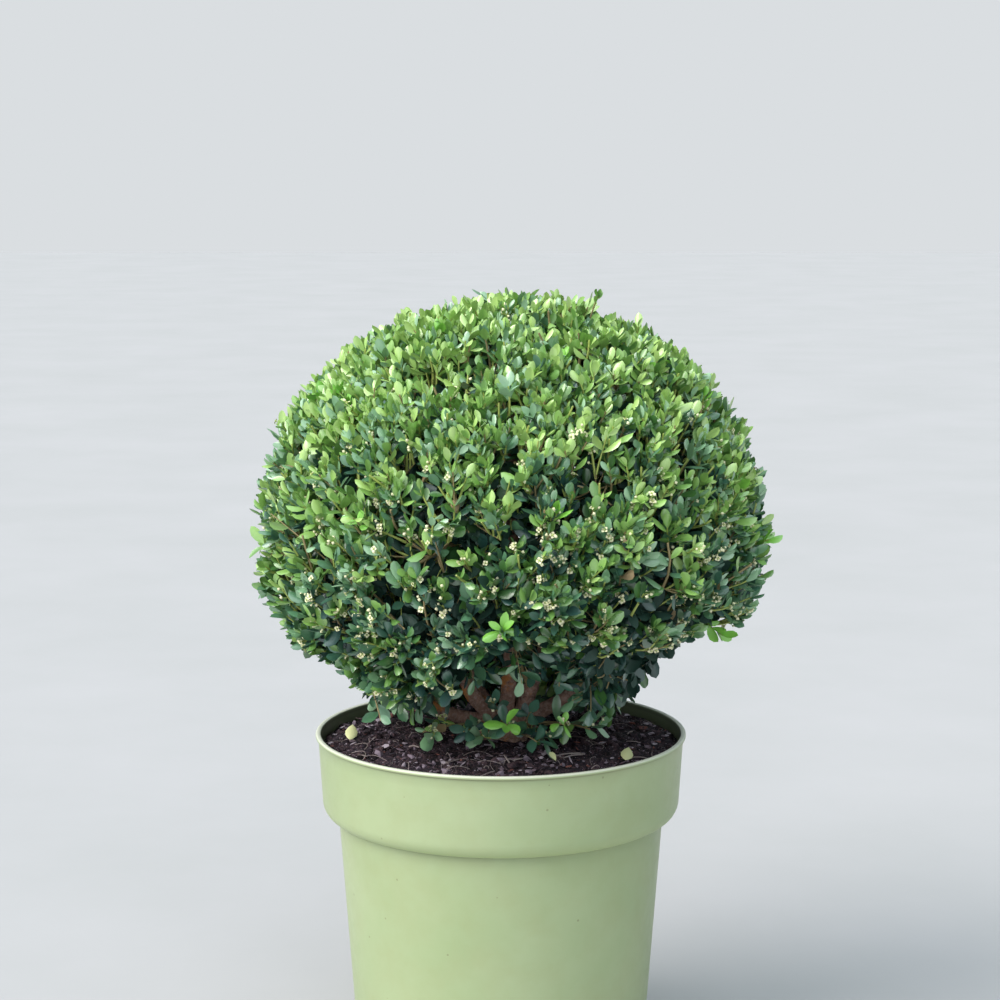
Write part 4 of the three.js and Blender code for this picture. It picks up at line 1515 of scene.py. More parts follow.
class Foliage:
    """The ball's leaves, twigs and blossom, grown by the rule and joined by mass, each kind apart."""

    leaf_limit = 0.998
    loose_limit = 1.12
    flush_share = 0.045
    vivid_share = 0.35
    withered_share = 0.0012
    hanging_trim = -14.0
    bough_room = 1.5
    soil_room = 1.5
    rim_height = 258.0
    rim_reach = 129.0
    shade_height = 280
    light_over = 290
    inner_depth = 0.87
    skin_depth = 0.06
    tone_levels = (0.06, 0.24, 0.42, 0.61, 0.86)
    blossom_heights = (255, 300, 380, 440, 500, 560)
    blossom_chances = (0.3, 0.5, 0.5, 0.32, 0.1, 0.01)
    open_share = 0.6

    def __init__(self, skeleton: Skeleton) -> None:
        """Takes the stems' lines and prepares the shapes and finishes."""
        self.skeleton = skeleton
        self.random = np.random.default_rng(7)
        self.leaf_shapes = Prototypes("blades", [Blade.shape(k) for k in range(len(Blade.folds))])
        self.flower_shapes = Prototypes("flowers", [Flower.petals(), Flower.bud(), Flower.stem()])
        self.leaf_finishes, self.flower_finishes, self.twig_finishes = (
            [finish.material() for finish in finishes] for finishes in (LEAVES, FLOWERS, TWIGS))

    def leaves(self, order: Order, habit: LeafHabit) -> Scatter:
        """Sets leaves in a spiral along every shoot of an order.

        Args:
            order: The shoots.
            habit: How they carry their leaves.

        Returns:
            The leaves.
        """
        draw, shoots = self.random, len(order.feet)
        rank = np.tile(((np.arange(habit.count) + 0.5) / habit.count) ** 0.8, (shoots, 1))
        shares = np.clip(partway(habit.span, rank) + draw.normal(0, 0.03, rank.shape), 0, 0.995)
        roots, ahead = order.points(shares), order.headings(shares)
        side = side_of(ahead)
        turn = (np.arange(habit.count) * GOLDEN_ANGLE + draw.uniform(0, TURN, (shoots, 1)))[..., None]
        out = side * np.cos(turn) + np.cross(side, ahead) * np.sin(turn)
        lean = (partway(habit.lean, rank) + draw.normal(0, 0.2, rank.shape))[..., None]
        way = unit(ahead * np.cos(lean) + out * np.sin(lean) + UP * (0.16 + draw.normal(0, 0.1, lean.shape)))
        facing = ahead + 0.4 * UP + draw.normal(0, 0.4, way.shape)
        length = partway(habit.length, rank)
        length = length * draw.uniform(0.75, 1.15, rank.shape) * draw.uniform(0.8, 1.2, (shoots, 1))
        length = (length * np.interp(order.tips[:, 2:], (330, 560), (1.06, 0.9))).ravel()
        tone = self.tones(order, roots, rank, habit).ravel()
        shape = draw.integers(0, self.leaf_shapes.count, len(length))
        roots, way, facing = (rows.reshape(-1, 3) for rows in (roots, way, facing))
        made = Scatter(roots, turns(way, facing), length, shape, tone, np.repeat(order.mass, habit.count))
        keep = self.fits(roots, way, length, habit.loose)
        if habit in (WALL, SKIRT):
            keep &= ~np.repeat(SPACE.cut_away(order.tips, self.hanging_trim), habit.count)
        return made.kept(keep)

    def fits(self, roots: Array, way: Array, length: Array, loose: bool) -> Array:
        """Tells which leaves stay in the box and off the wood.

        Args:
            roots: The leaves' roots.
            way: Where they point.
            length: Their lengths.
            loose: Whether they may stand out of the ball.

        Returns:
            True for each leaf that stays.
        """
        keep = np.ones(len(roots), bool)
        for share in (0.5, 1.0):
            points = roots + way * (length * share)[:, None]
            keep &= SPACE.measure(points) < (self.loose_limit if loose else self.leaf_limit)
            keep &= ~SPACE.in_hollow(points, 5.0) & ~SPACE.cut_away(points, 8.0) | loose
            keep &= ~self.skeleton.near_bough(points, self.bough_room) & in_box(points, 1.0)
            keep &= points[:, 2] > SOIL_CREST + self.soil_room
            reach = np.hypot(points[:, 0], points[:, 1])
            keep &= (points[:, 2] > self.rim_height) | (reach < self.rim_reach)
        return keep

    def tones(self, order: Order, roots: Array, rank: Array, habit: LeafHabit) -> Array:
        """Deals the leaves' tones out by spray: by age, and by painted light and shade, brighter high up and
        towards the sides and darker deep inside.

        Args:
            order: The shoots.
            roots: The leaves' roots, as shoots by leaves by three.
            rank: Each leaf's place from its shoot's foot to its tip, 0 to 1.
            habit: How the shoots carry their leaves.

        Returns:
            Tone numbers, as shoots by leaves.
        """
        if habit.tones:
            return np.where(rank > 0.45, habit.tones[1].value, habit.tones[0].value)
        draw, shoots = self.random, (len(rank), 1)
        # painted light and shade: brighter high up, darker deep inside
        height = np.clip((order.tips[:, 2:] - self.shade_height) / self.light_over, 0, 1)
        depth = np.clip((SPACE.measure(roots) - self.inner_depth) / self.skin_depth, -1, 1)
        flush = (draw.random(shoots) < self.flush_share) & (depth > 0)
        left = (SPACE.centre[0] - order.tips[:, :1]) / SPACE.across
        score = 0.2 + 0.58 * height + 0.15 * depth + 0.18 * (rank - 0.5) + 0.45 * flush + habit.light
        # painted light: brighter towards the sides, most on the left
        score = score + 0.17 * np.maximum(left, -0.45 * left)
        score = score + draw.normal(0, 0.19, shoots) + draw.normal(0, 0.1, rank.shape)
        level = len(self.tone_levels) - np.digitize(score, self.tone_levels)
        # warmer high up: partly young growth, partly painted light shining through the leaves
        warm = 0.7 * draw.random(shoots) + 0.3 * draw.random(rank.shape) < 0.28 + 0.5 * height + 0.2 * flush
        tone = np.where(warm, WARM[level], COOL[level])
        tone = np.where(flush & (draw.random(shoots) < self.vivid_share), Tone.VIVID.value, tone)
        return np.where(draw.random(rank.shape) < self.withered_share, Tone.WITHERED.value, tone)

    def blossom(self, order: Order, low: bool = False) -> Scatter:
        """Sets clusters of small flowers among the leaves, fewer of them high on the ball.

        Args:
            order: The shoots.
            low: Whether they are low sprays, which all carry some.

        Returns:
            The flowers.
        """
        draw, height = self.random, order.tips[:, 2]
        chance = np.interp(height, self.blossom_heights, self.blossom_chances)
        chance *= 1.2 + 0.5 * (order.tips[:, 0] - SPACE.centre[0]) / SPACE.across
        rows = np.flatnonzero(low | (draw.random(len(height)) < chance))
        rows = np.repeat(rows, draw.integers(2, 8, len(rows)))
        spots = draw.uniform(0.5, 0.95, (len(height), 1))[rows]
        shares = np.clip(spots + draw.normal(0, 0.13, spots.shape), 0, 1)
        chosen, count = order.kept(rows), len(rows)
        roots, ahead = chosen.points(shares)[:, 0], chosen.headings(shares)[:, 0]
        clear_way = UP if low else SPACE.outward(roots)
        way = unit(ahead * 0.3 + draw.normal(0, 0.55, roots.shape) + 0.9 * clear_way)
        length = draw.uniform(5.2, 8.0, count)
        open_or_bud = (draw.random(count) < self.open_share).astype(int)
        turn = turns(way, draw.normal(0, 1, roots.shape))
        heads = Scatter(roots, turn, length, open_or_bud, np.zeros(count, int), chosen.mass)
        stalks = Scatter(roots, turn, length, np.full(count, 2), np.ones(count, int), chosen.mass)
        ends = roots + way * length[:, None]
        keep = (SPACE.measure(ends) < (self.loose_limit if low else self.leaf_limit)) & in_box(ends, 2.0)
        return Scatter.gathered((heads.kept(keep), stalks.kept(keep)))

    def dress(self, name: str, leaves: Scatter, flowers: Scatter, *nodes: str) -> None:
        """Builds and places the leaves and the blossom of some CAD nodes.

        Args:
            name: What the pieces are called after.
            leaves: Their leaves.
            flowers: Their flowers.
            *nodes: The nodes.
        """
        for kind, scatter, shapes, finishes in (
                ("leaves", leaves, self.leaf_shapes, self.leaf_finishes),
                ("blossom", flowers, self.flower_shapes, self.flower_finishes)):
            place(scatter.build(f"{kind}_{name}", shapes, finishes), "foliage", *nodes)

    def build(self, rule: GrowthRule) -> None:
        """Builds and places the leaves, twigs and blossom of every mass.

        Args:
            rule: The grown orders.
        """
        kinds = [(rule.outer, OUTER), (rule.cuts, CUT), (rule.inner, INNER), (rule.walls, WALL),
                 (rule.skirt, SKIRT), *((sprig.order(), sprig.habit()) for sprig in SPRIGS)]
        leaves = Scatter.gathered(self.leaves(order, habit) for order, habit in kinds)
        flowers = self.blossom(rule.outer)
        walls, skirt = (
            order.kept(~SPACE.cut_away(order.tips, self.hanging_trim)) for order in (rule.walls, rule.skirt))
        coarse = ((rule.limbs, 10, False), (rule.twigs, 9, False), (rule.risers, 12, False))
        fine = ((rule.sprigs, 4, False), (rule.outer, 3, True), (rule.cuts, 3, True), (rule.inner, 2, True),
                (walls, 3, False), (skirt, 4, True), *((sprig.order(), 5, True) for sprig in SPRIGS))
        for number, stem in enumerate(STEMS):
            node = f"foliage_{stem.name}"
            own = [scatter.kept(scatter.mass == number) for scatter in (leaves, flowers)]
            self.dress(stem.name, *own, node)
            for kind, orders, sides in (("limbs", coarse, 6), ("twigs", fine, 3)):
                lines = TwigLines(*((order.kept(order.mass == number), *rest) for order, *rest in orders))
                place(lines.build(f"{kind}_{stem.name}", sides, *self.twig_finishes), "bark", node)


@dataclass(frozen=True)
class Sprig:
    """A single shoot that stands out from the rest: its foot, its tip and its leaves."""

    foot: Triple
    tip: Triple
    leaves: int
    length: float
    lean: float
    tone: Tone = Tone.GREEN
    bright: Tone = Tone.FRESH
    first: float = 0.5

    def order(self) -> Order:
        """Returns its twig as an order of one bow."""
        foot, tip = np.array([self.foot], float), np.array([self.tip], float)
        return Order(foot, (foot + tip) / 2 + UP * 3, tip, (0.8, 0.45), SPACE.share_of(tip))

    def habit(self) -> LeafHabit:
        """Returns how it carries its leaves."""
        lean = (self.lean * 1.2, self.lean * 0.7)
        return LeafHabit(self.leaves, (self.first, 1.0), lean, (self.length, self.length), loose=True,
                         tones=(self.tone, self.bright))


SPRIGS = (
    Sprig((2, -158, 352), (1, -180, 363), 6, 12.0, 1.3, Tone.VIVID, Tone.VIVID, 0.7),
    Sprig((-92, -136, 418), (-101, -154, 436), 7, 13.0, 0.9, Tone.VIVID, Tone.YOUNG),
    Sprig((-160, -40, 392), (-176, -46, 400), 5, 14.5, 0.8),
    Sprig((116, -134, 368), (127, -152, 388), 6, 13.0, 0.75),
    Sprig((84, -154, 404), (89, -174, 416), 6, 12.5, 1.1),
    Sprig((66, 6, 560), (72, 0, 578), 6, 9.0, 0.5, Tone.FRESH, Tone.GREEN),
    Sprig((128, -60, 356), (161, -66, 336), 9, 12.5, 0.6, Tone.GREEN, Tone.VIVID, 0.3),
    Sprig((-66, -160, 360), (-164, -82, 428), 8, 13.0, 0.7, Tone.GREEN, Tone.FRESH, 0.3),
)
LOW_SPRIGS = (
    Sprig((6, -34, 258), (4, -84, 274), 6, 15.5, 0.95, Tone.DEEP, Tone.VIVID, 0.7),
    Sprig((30, -40, 262), (46, -84, 274), 4, 13.5, 0.95, Tone.VIVID, Tone.VIVID, 0.75),
    Sprig((2, -40, 262), (-6, -72, 288), 6, 15.5, 0.9, Tone.BLUE, Tone.DEEP, 0.35),
    Sprig((16, -40, 260), (22, -70, 280), 5, 15.5, 0.9, Tone.BLUE, Tone.DEEP, 0.4),
    Sprig((44, -66, 326), (42, -82, 302), 5, 14.5, 0.8, Tone.BLUE, Tone.DEEP, 0.4),
    Sprig((10, -36, 256), (26, -86, 262), 4, 15.5, 0.9, Tone.BLUE, Tone.DEEP, 0.6),
    Sprig((-14, -34, 258), (-27, -72, 266), 6, 13.5, 0.9, Tone.BLUE, Tone.DEEP, 0.45),
    Sprig((-96, -70, 306), (-86, -96, 280), 4, 15.0, 0.7, Tone.DEEP, Tone.FULL),
    Sprig((66, -50, 306), (65, -84, 284), 5, 14.5, 0.6, Tone.BLUE, Tone.DEEP),
)


# The low sprays


@dataclass(frozen=True)
class SprayLine:
    """A low spray: its azimuth, its length and the height of its tip."""

    name: str
    azimuth: float
    length: float
    tip_height: float


SPRAY_LINES = (
    SprayLine("front", 290, 72, 258),
    SprayLine("front_left", 250, 66, 257),
    SprayLine("left", 216, 76, 259),
    SprayLine("right", 322, 78, 262),
    SprayLine("back", 84, 74, 260),
)


class LowSprays:
    """The arching sprays that grow from the stump's foot, out over the compost."""

    start = 254.0
    arch = 7.0
    root_reach = 10.9
    thick = (1.3, 0.7)
    random = np.random.default_rng(19)

    def main_twigs(self) -> Order:
        """Returns the sprays' main twigs as bows, as near as a bow comes to the source's lines."""
        rows = []
        for spray in SPRAY_LINES:
            root = polar(self.root_reach, spray.azimuth, self.start, STUMP_AXIS)
            middle = polar(spray.length * 0.55, spray.azimuth + 6, self.start + self.arch, STUMP_AXIS)
            tip = polar(spray.length, spray.azimuth, spray.tip_height, STUMP_AXIS)
            rows.append((root, 2 * middle - (root + tip) / 2, tip))
        return Order(*np.array(rows).transpose(1, 0, 2), self.thick, np.zeros(len(rows), int))

    def side_shoots(self, main: Order) -> Order:
        """Grows short shoots to either side of the main twigs.

        Args:
            main: The main twigs.

        Returns:
            The shoots.
        """
        shares = np.tile(np.array([0.6, 0.82]), (len(main.feet), 1))
        feet, ahead = main.points(shares), main.headings(shares)
        hand = np.where(np.arange(shares.shape[1]) % 2 == 0, 1.0, -1.0)[None, :, None]
        stray = self.random.normal(0, 0.12, feet.shape)
        way = unit(ahead * 0.8 + side_of(ahead) * 0.8 * hand + stray + 0.12 * UP)
        length = self.random.uniform(11, 19, shares.shape)[..., None]
        rows = (feet, feet + ahead * length * 0.4, feet + way * length)
        return Order(*(row.reshape(-1, 3) for row in rows), (0.6, 0.4), np.zeros(shares.size, int))

    def build(self, foliage: Foliage) -> None:
        """Builds and places the sprays' leaves and twigs.

        Args:
            foliage: The ball's foliage, which dresses the sprays too.
        """
        main = self.main_twigs()
        shoots = self.side_shoots(main)
        sprigs = [sprig.order() for sprig in LOW_SPRIGS]
        nodes = [f"spray_{spray.name}" for spray in SPRAY_LINES]
        kinds = [(main, LOW), (shoots, LOW), *zip(sprigs, (sprig.habit() for sprig in LOW_SPRIGS))]
        leaves = Scatter.gathered(foliage.leaves(order, habit) for order, habit in kinds)
        flowers = Scatter.gathered(foliage.blossom(order, True) for order in (shoots, *sprigs[:3]))
        foliage.dress("low", leaves, flowers, *nodes)
        lines = TwigLines((main, 10, False), (shoots, 3, True), *((sprig, 6, True) for sprig in sprigs))
        place(lines.build("twigs_low", 5, *foliage.twig_finishes), "bark", *nodes)


# Stump and boughs


class Wood:
    """The stump with its root ribs and the seven boughs, with the bark's relief in their meshes."""

    flare = 27.0
    profile = ((0.0, 27.0), (0.22, 21.6), (0.55, 17.5), (0.9, 13.0), (1.0, 6.5))
    ribs = 5
    rib_relief = 0.16
    clear = 0.3
    sides = 28
    stump_rings = 24
    stump_sides = 72
    knot_swell = 0.05
    ripple = 0.07

    def __init__(self, skeleton: Skeleton) -> None:
        """Takes the stems' lines."""
        self.skeleton = skeleton
        self.finish = BarkFinish().material()

    def limb(self, number: int, start: float, end: float, steps: int) -> Part:
        """Sweeps a round limb along a stretch of a stem's line.

        Args:
            number: The stem's number.
            start: Share of the line where it starts.
            end: Share where it ends.
            steps: How many rings it has, less one.

        Returns:
            Points in millimetres and faces.
        """
        line, radii = self.skeleton.part(number, start, end, steps)
        ahead = unit(np.gradient(line, axis=0))
        side = side_of(ahead)[:, None]
        angles = np.arange(self.sides) * TURN / self.sides
        knots = 1 + self.knot_swell * np.sin(np.linspace(start, end, steps + 1) * 46 + number)
        ripple = ((radii * knots)[:, None] * (1 + self.ripple * np.cos(3 * angles + number)))[..., None]
        across = side * np.cos(angles)[:, None] + np.cross(ahead[:, None], side) * np.sin(angles)[:, None]
        points = np.concatenate([line[:1], (line[:, None] + across * ripple).reshape(-1, 3), line[-1:]])
        numbers = np.arange(1, len(points) - 1).reshape(-1, self.sides).tolist()
        return points, ring_faces([[0] * self.sides, *numbers, [len(points) - 1] * self.sides])

    def stump(self) -> Part:
        """Turns the flared foot with its ribs.

        Returns:
            Points in millimetres and faces.
        """
        base = SOIL_CREST + self.clear
        shares = np.arange(1, self.stump_rings + 1) / self.stump_rings
        radii = np.interp(shares, *zip(*self.profile))
        rings = [(float(r), base + STUMP_HEIGHT * float(s)) for r, s in zip(radii, shares)]
        profile = [(0, base), (self.flare, base), *rings, (0, base + STUMP_HEIGHT)]
        points, faces = lathe(profile, self.stump_sides)
        low = np.clip(1 - (points[:, 2] - base) / STUMP_HEIGHT, 0, 1)
        rib = 1 + self.rib_relief * low * np.cos(self.ribs * np.arctan2(points[:, 1], points[:, 0]))
        points[:, :2] *= rib[:, None]
        points[:, 0] += STUMP_AXIS[0]
        return points, faces

    def dress(self, name: str, *parts: Part) -> Object:
        """Joins parts into one piece and gives them the bark's relief."""
        points, faces = joined(*parts)
        return grown(name, mesh_of(name, points * MM, faces), relief_tree(), {
            "Lump Scale": 150.0, "Lump Height": 0.0007, "Grain Scale": 520.0, "Grain Height": 0.0006,
            "Stretch": (1.0, 1.0, 0.45), "Finish": self.finish})

    def build(self) -> None:
        """Builds and places the stump and the boughs."""
        cut = self.skeleton.stub_end
        stubs = [self.limb(number, 0, cut + 0.004, 14) for number in range(len(STEMS))]
        place(self.dress("wood_stump", self.stump(), *stubs), "bark", "trunk")
        for number, stem in enumerate(STEMS):
            limb = self.limb(number, cut, 1.0, 100)
            place(self.dress(f"wood_{stem.name}", limb), "bark", f"bough_{stem.name}", f"foliage_{stem.name}")


# Pot and compost


@dataclass(frozen=True)
class Pot:
    """The moulded pot: rolled lip, deep collar, raised floor and notched foot, in millimetres."""

    height: float = 250.0
    rim_radius: float = 140.0
    base_radius: float = 109.4
    wall: float = 2.2
    collar_height: float = 63.5
    collar_top: float = 138.0
    collar_foot: float = 135.0
    collar_round: float = 12.0
    lip_height: float = 2.4
    lip_width: float = 4.2
    foot_rise: float = 12.0
    pad_radius: float = 74.0
    skirt: float = 3.2
    step: float = 3.0
    notches: int = 6
    notch_low: float = 31.0
    notch_high: float = 25.0
    notch_rise: float = 11.0
    notch_first: float = 15.0
    hole_width: float = 8.0
    hole_length: float = 16.0
    sides: int = 192
    lip_round: float = 1.6
    bevel: float = 0.7
    crease: float = 40.0

    def body_radius(self, height: float) -> float:
        """Returns the outside radius of the body at a height."""
        foot = self.height - self.collar_height
        return self.base_radius + (self.collar_foot - self.collar_round - self.base_radius) * height / foot

    def outside(self) -> Profile:
        """Draws the profile from the underside's middle out and up to the lip.

        Returns:
            Radius and height pairs.
        """
        foot = self.height - self.collar_height
        lip_foot = self.height - self.lip_height
        inner, turned = self.base_radius - self.skirt, foot + self.collar_round
        rise = (lip_foot - 0.5 - turned) / 5
        flare = (self.collar_top - self.collar_foot) / 5
        line, bevel, lip_round = self.foot_rise, self.bevel, self.lip_round
        return [
            (0, 0), (self.pad_radius - 0.8, 0), (self.pad_radius, 0.8), (self.pad_radius + self.step, line),
            (inner - self.step / 2, line), (inner, 0.6), (inner + 0.6, 0),
            (self.base_radius - bevel, 0), (self.base_radius, bevel),
            (self.body_radius(line - bevel), line - bevel), (self.body_radius(line) + 0.3, line),
            (self.body_radius(line + 0.9), line + 0.9),
            *((self.body_radius(foot * k / 12), foot * k / 12) for k in range(1, 12)),
            *arc((self.collar_foot - self.collar_round, turned), self.collar_round, -90, 0, 10),
            *((self.collar_foot + flare * k, turned + rise * k) for k in range(1, 6)),
            (self.collar_top + 0.3, lip_foot - 0.1), (self.rim_radius - 0.5, lip_foot + 0.1),
            *arc((self.rim_radius - lip_round, self.height - lip_round), lip_round, -25, 90, 7),
            (self.rim_radius - 2.8, self.height),
        ]

    def lining(self, inset: float, steps: int) -> Profile:
        """Returns the profile inside the pot, from its floor's middle up to the top of the collar's bend.

        Args:
            inset: How far inside the outer skin it runs.
            steps: Steps round the collar's bend.

        Returns:
            Radius and height pairs.
        """
        raised = self.foot_rise + inset
        centre = (self.collar_foot - self.collar_round, self.height - self.collar_height + self.collar_round)
        bend = arc(centre, self.collar_round - inset, -90, 0, steps)
        return [(0, inset), (self.pad_radius - inset, inset), (self.pad_radius + self.step - inset, raised),
                (self.body_radius(raised) - inset, raised), *bend]

    def cutter(self, outline: Profile, near: float, far: float, angle: float) -> tuple:
        """Makes a prism that runs outwards along an angle.

        Args:
            outline: Sideways and height pairs of its section, anticlockwise.
            near: Distance from the axis where it starts.
            far: Where it ends.
            angle: Radians from +Y.

        Returns:
            Points in millimetres and faces.
        """
        cos, sin, count = math.cos(angle), math.sin(angle), len(outline)
        points = [(aside * cos - out * sin, aside * sin + out * cos, height)
                  for out in (near, far) for aside, height in outline]
        ends = [list(range(count)), list(range(count, 2 * count))]
        return np.array(points), [*ring_faces(ends[::-1]), ends[0], ends[1][::-1]]

    def cut_foot(self, shell: Object) -> None:
        """Cuts the notches and drain holes out of the shell.

        Args:
            shell: The pot's shell.
        """
        low, high, rise, half = self.notch_low / 2, self.notch_high / 2, self.notch_rise, self.hole_width / 2
        middle = (self.pad_radius + self.base_radius) / 2
        notch = [(-low, -1), (low, -1), (high, rise), (-high, rise)]
        hole = [(-half, rise - 3), (half, rise - 3), (half, rise + 7), (-half, rise + 7)]
        cuts = ((notch, self.base_radius - 16, self.base_radius + 8),
                (hole, middle - self.hole_length / 2, middle + self.hole_length / 2))
        angles = [math.radians(self.notch_first + 360 * k / self.notches) for k in range(self.notches)]
        points, faces = joined(*(self.cutter(*cut, angle) for angle in angles for cut in cuts))
        tool = new_object("foot_cuts", mesh_of("foot_cuts", points * MM, faces))
        cut = shell.modifiers.new("Foot", "BOOLEAN")
        cut.operation, cut.solver, cut.object = "DIFFERENCE", "EXACT", tool
        evaluated(shell)
        bpy.data.objects.remove(tool)

    def build(self) -> None:
        """Builds and places the pot."""
        inner_lip = [(self.rim_radius - self.lip_width + 0.5, self.height - 0.5),
                     (self.rim_radius - self.lip_width, self.height - self.lip_height)]
        points, faces = lathe(self.outside() + inner_lip + self.lining(self.wall, 8)[::-1], self.sides)
        shell = new_object("pot_shell", mesh_of("pot_shell", points * MM, faces))
        self.cut_foot(shell)
        shell.data.materials.clear()
        shell.data.materials.append(PotFinish().material())
        shell.data.polygons.foreach_set("material_index", np.zeros(len(shell.data.polygons), np.int32))
        shell.data.shade_smooth()
        shell.data.set_sharp_from_angle(angle=math.radians(self.crease))
        place(shell, "pot", "pot")


@dataclass(frozen=True)
class Litter:
    """One kind of small piece on the compost: its sizes, its seeds, its shapes and its finishes.

    Sizes are in millimetres. Stretch is how large it is along each axis, and sink how far it sits in the
    crust, both in shares of its size. Each finish has the share of the pieces that take it.
    """

    name: str
    count: int
    seed: int
    sizes: Pair
    shapes: int
    shape_seed: int
    stretch: Triple
    sink: float
    finishes: tuple


LITTERS = (
    Litter("crumbs", 1500, 11, (1.2, 10.0), 5, 3, (1.0, 1.0, 1.0), 0.12, (
        (0.56, CompostFinish("crumb_dark")),
        (0.3, CompostFinish("crumb_brown", (38, 29, 36), (84, 66, 73), (126, 94, 94))),
        (0.14, PlainFinish("crumb_pale", (128, 114, 127), 0.8)))),
    Litter("chips", 1150, 12, (1.6, 11.0), 4, 5, (0.55, 1.0, 0.17), -0.06, (
        (0.38, PlainFinish("chip_brown", (108, 92, 103), 0.8)),
        (0.13, PlainFinish("chip_red", (130, 82, 74), 0.8)),
        (0.25, PlainFinish("chip_pale", (170, 158, 170), 0.8)),
        (0.24, PlainFinish("chip_dark", (38, 30, 40), 0.8)))),
)


@dataclass(frozen=True)
class Compost:
    """The compost: a lumpy crust that rises to the stump, with litter, fibres and fallen leaves on it."""

    rim: float = 135.0
    clear: float = 0.3
    slope: tuple = ((42.0, 247.0), (90.0, 244.6), (135.0, 241.0))
    fibres: int = 240
    straws: float = 0.06
    crust_rings: int = 72
    crust_sides: int = 230
    fallen: tuple = ((-114, -8, 85, 19), (91, -68, 75, 17), (40, -78, 120, 10), (60, 96, 40, 13),
                     (-84, 66, 300, 12), (-20, 118, 80, 13))

    def height_at(self, radius: Array | float) -> Array:
        """Returns the crust's mean height at a distance from the pot's axis."""
        return np.interp(radius, *zip(*self.slope))

    def crust(self, pot: Pot) -> Object:
        """Builds the closed body of compost, with a fine lumpy top.

        Args:
            pot: The pot that it fills.

        Returns:
            The object.
        """
        radii = np.linspace(self.rim, 0, self.crust_rings)
        top = [(float(r), float(h)) for r, h in zip(radii, self.height_at(radii))]
        points, faces = lathe(pot.lining(pot.wall + self.clear, 4) + top, self.crust_sides)
        return grown("compost", mesh_of("compost", points * MM, faces), relief_tree(), {
            "Lump Scale": 70.0, "Lump Height": 0.006, "Grain Scale": 250.0, "Grain Height": 0.003,
            "Middle": 0.6, "Directions": (0.0, 0.0, 1.0), "Level": 0.238,
            "Finish": CompostFinish().material()})

    def uneven(self, litter: Litter) -> Prototypes:
        """Makes a few uneven lumps.

        Args:
            litter: What they are to be.

        Returns:
            The shapes.
        """
        draw, made = np.random.default_rng(litter.shape_seed), []
        for number in range(litter.shapes):
            ball = bmesh.new()
            bmesh.ops.create_icosphere(ball, subdivisions=1, radius=0.5)
            for vert in ball.verts:
                vert.co = vert.co * draw.uniform(0.5, 1.12) * Vector(litter.stretch)
            made.append(bpy.data.meshes.new(f"{litter.name}_{number}"))
            ball.to_mesh(made[-1])
            ball.free()
        return Prototypes(litter.name, made)

    def spread(self, litter: Litter) -> Scatter:
        """Spreads one kind of litter over the crust.

        Args:
            litter: The kind.

        Returns:
            The scatter.
        """
        draw, count = np.random.default_rng(litter.seed), litter.count
        radius = (self.rim - 3) * np.sqrt(draw.random(count))
        angle = draw.uniform(0, TURN, count)
        size = partway(litter.sizes, draw.power(0.35, count))
        height = self.height_at(radius) - litter.sink * size - 0.5
        points = np.stack([radius * np.cos(angle), radius * np.sin(angle), height], axis=1)
        way = draw.normal(0, 1, (count, 3)) * (1, 1, 0.25)
        facing = UP + draw.normal(0, 0.35, (count, 3))
        shares = [share for share, _ in litter.finishes]
        tone = draw.choice(len(shares), count, p=np.array(shares) / sum(shares))
        shape = draw.integers(0, litter.shapes, count)
        return Scatter(points, turns(way, facing), size, shape, tone, tone)

    def fibre_lines(self) -> TwigLines:
        """Lays thin fibres and straws on the crust.

        Returns:
            The lines.
        """
        draw, lines, count = np.random.default_rng(23), TwigLines(), 8
        for _ in range(self.fibres):
            radius, angle = (self.rim - 8) * math.sqrt(draw.random()), draw.uniform(0, TURN)
            straw = draw.random() < self.straws
            heading, bend = draw.uniform(0, TURN), draw.normal(0, 0.05 if straw else 0.4)
            step, loop = draw.uniform(0.8, 3.8), draw.uniform(0.4, 0.8 if straw else 3.5)
            spot, line = np.array([radius * math.cos(angle), radius * math.sin(angle)]), []
            for k in range(count):
                spot = spot * min(1.0, (self.rim - 2) / max(float(np.hypot(*spot)), 1e-6))
                crust = float(self.height_at(float(np.hypot(*spot))))
                line.append((*spot, crust + 0.3 + loop * math.sin(math.pi * k / (count - 1))))
                heading += bend
                spot = spot + step * np.array([math.cos(heading), math.sin(heading)])
            thick = 0.7 if straw else draw.uniform(0.1, 0.3)
            lines.add(np.array(line), np.full(count, thick), bool(straw or draw.random() < 0.4))
        return lines

    def fallen_leaves(self, foliage: Foliage) -> Object:
        """Lays a few pale fallen leaves where the photo shows them, and some round the back.

        Args:
            foliage: The foliage, whose leaf shapes they share.

        Returns:
            The object.
        """
        x, y, angle, length = np.array(self.fallen, float).T
        points = np.stack([x, y, self.height_at(np.hypot(x, y)) + 1.0], axis=1)
        way = np.stack([np.cos(np.radians(angle)), np.sin(np.radians(angle)), np.full(len(x), 0.6)], axis=1)
        facing = np.tile((0.1, -0.7, 0.8), (len(x), 1))
        none = np.zeros(len(x), int)
        made = Scatter(points, turns(way, facing), length, np.arange(len(x)) % 5, none, none)
        pale = PlainFinish("fallen_leaf", (220, 222, 168)).material()
        return made.build("fallen_leaves", foliage.leaf_shapes, [pale])

    def build(self, pot: Pot, foliage: Foliage) -> None:
        """Builds and places the compost and all that lies on it.

        Args:
            pot: The pot that it fills.
            foliage: The foliage, whose leaf shapes the fallen leaves share.
        """
        place(self.crust(pot), "soil", "soil")
        for litter in LITTERS:
            finishes = [finish.material() for _, finish in litter.finishes]
            pieces = self.spread(litter).build(f"compost_{litter.name}", self.uneven(litter), finishes)
            place(pieces, "soil", "soil")
        pale, dark = (finish.material() for finish in FIBRES)
        place(self.fibre_lines().build("compost_fibres", 3, pale, dark), "soil", "soil")
        place(self.fallen_leaves(foliage), "foliage")


# The studio


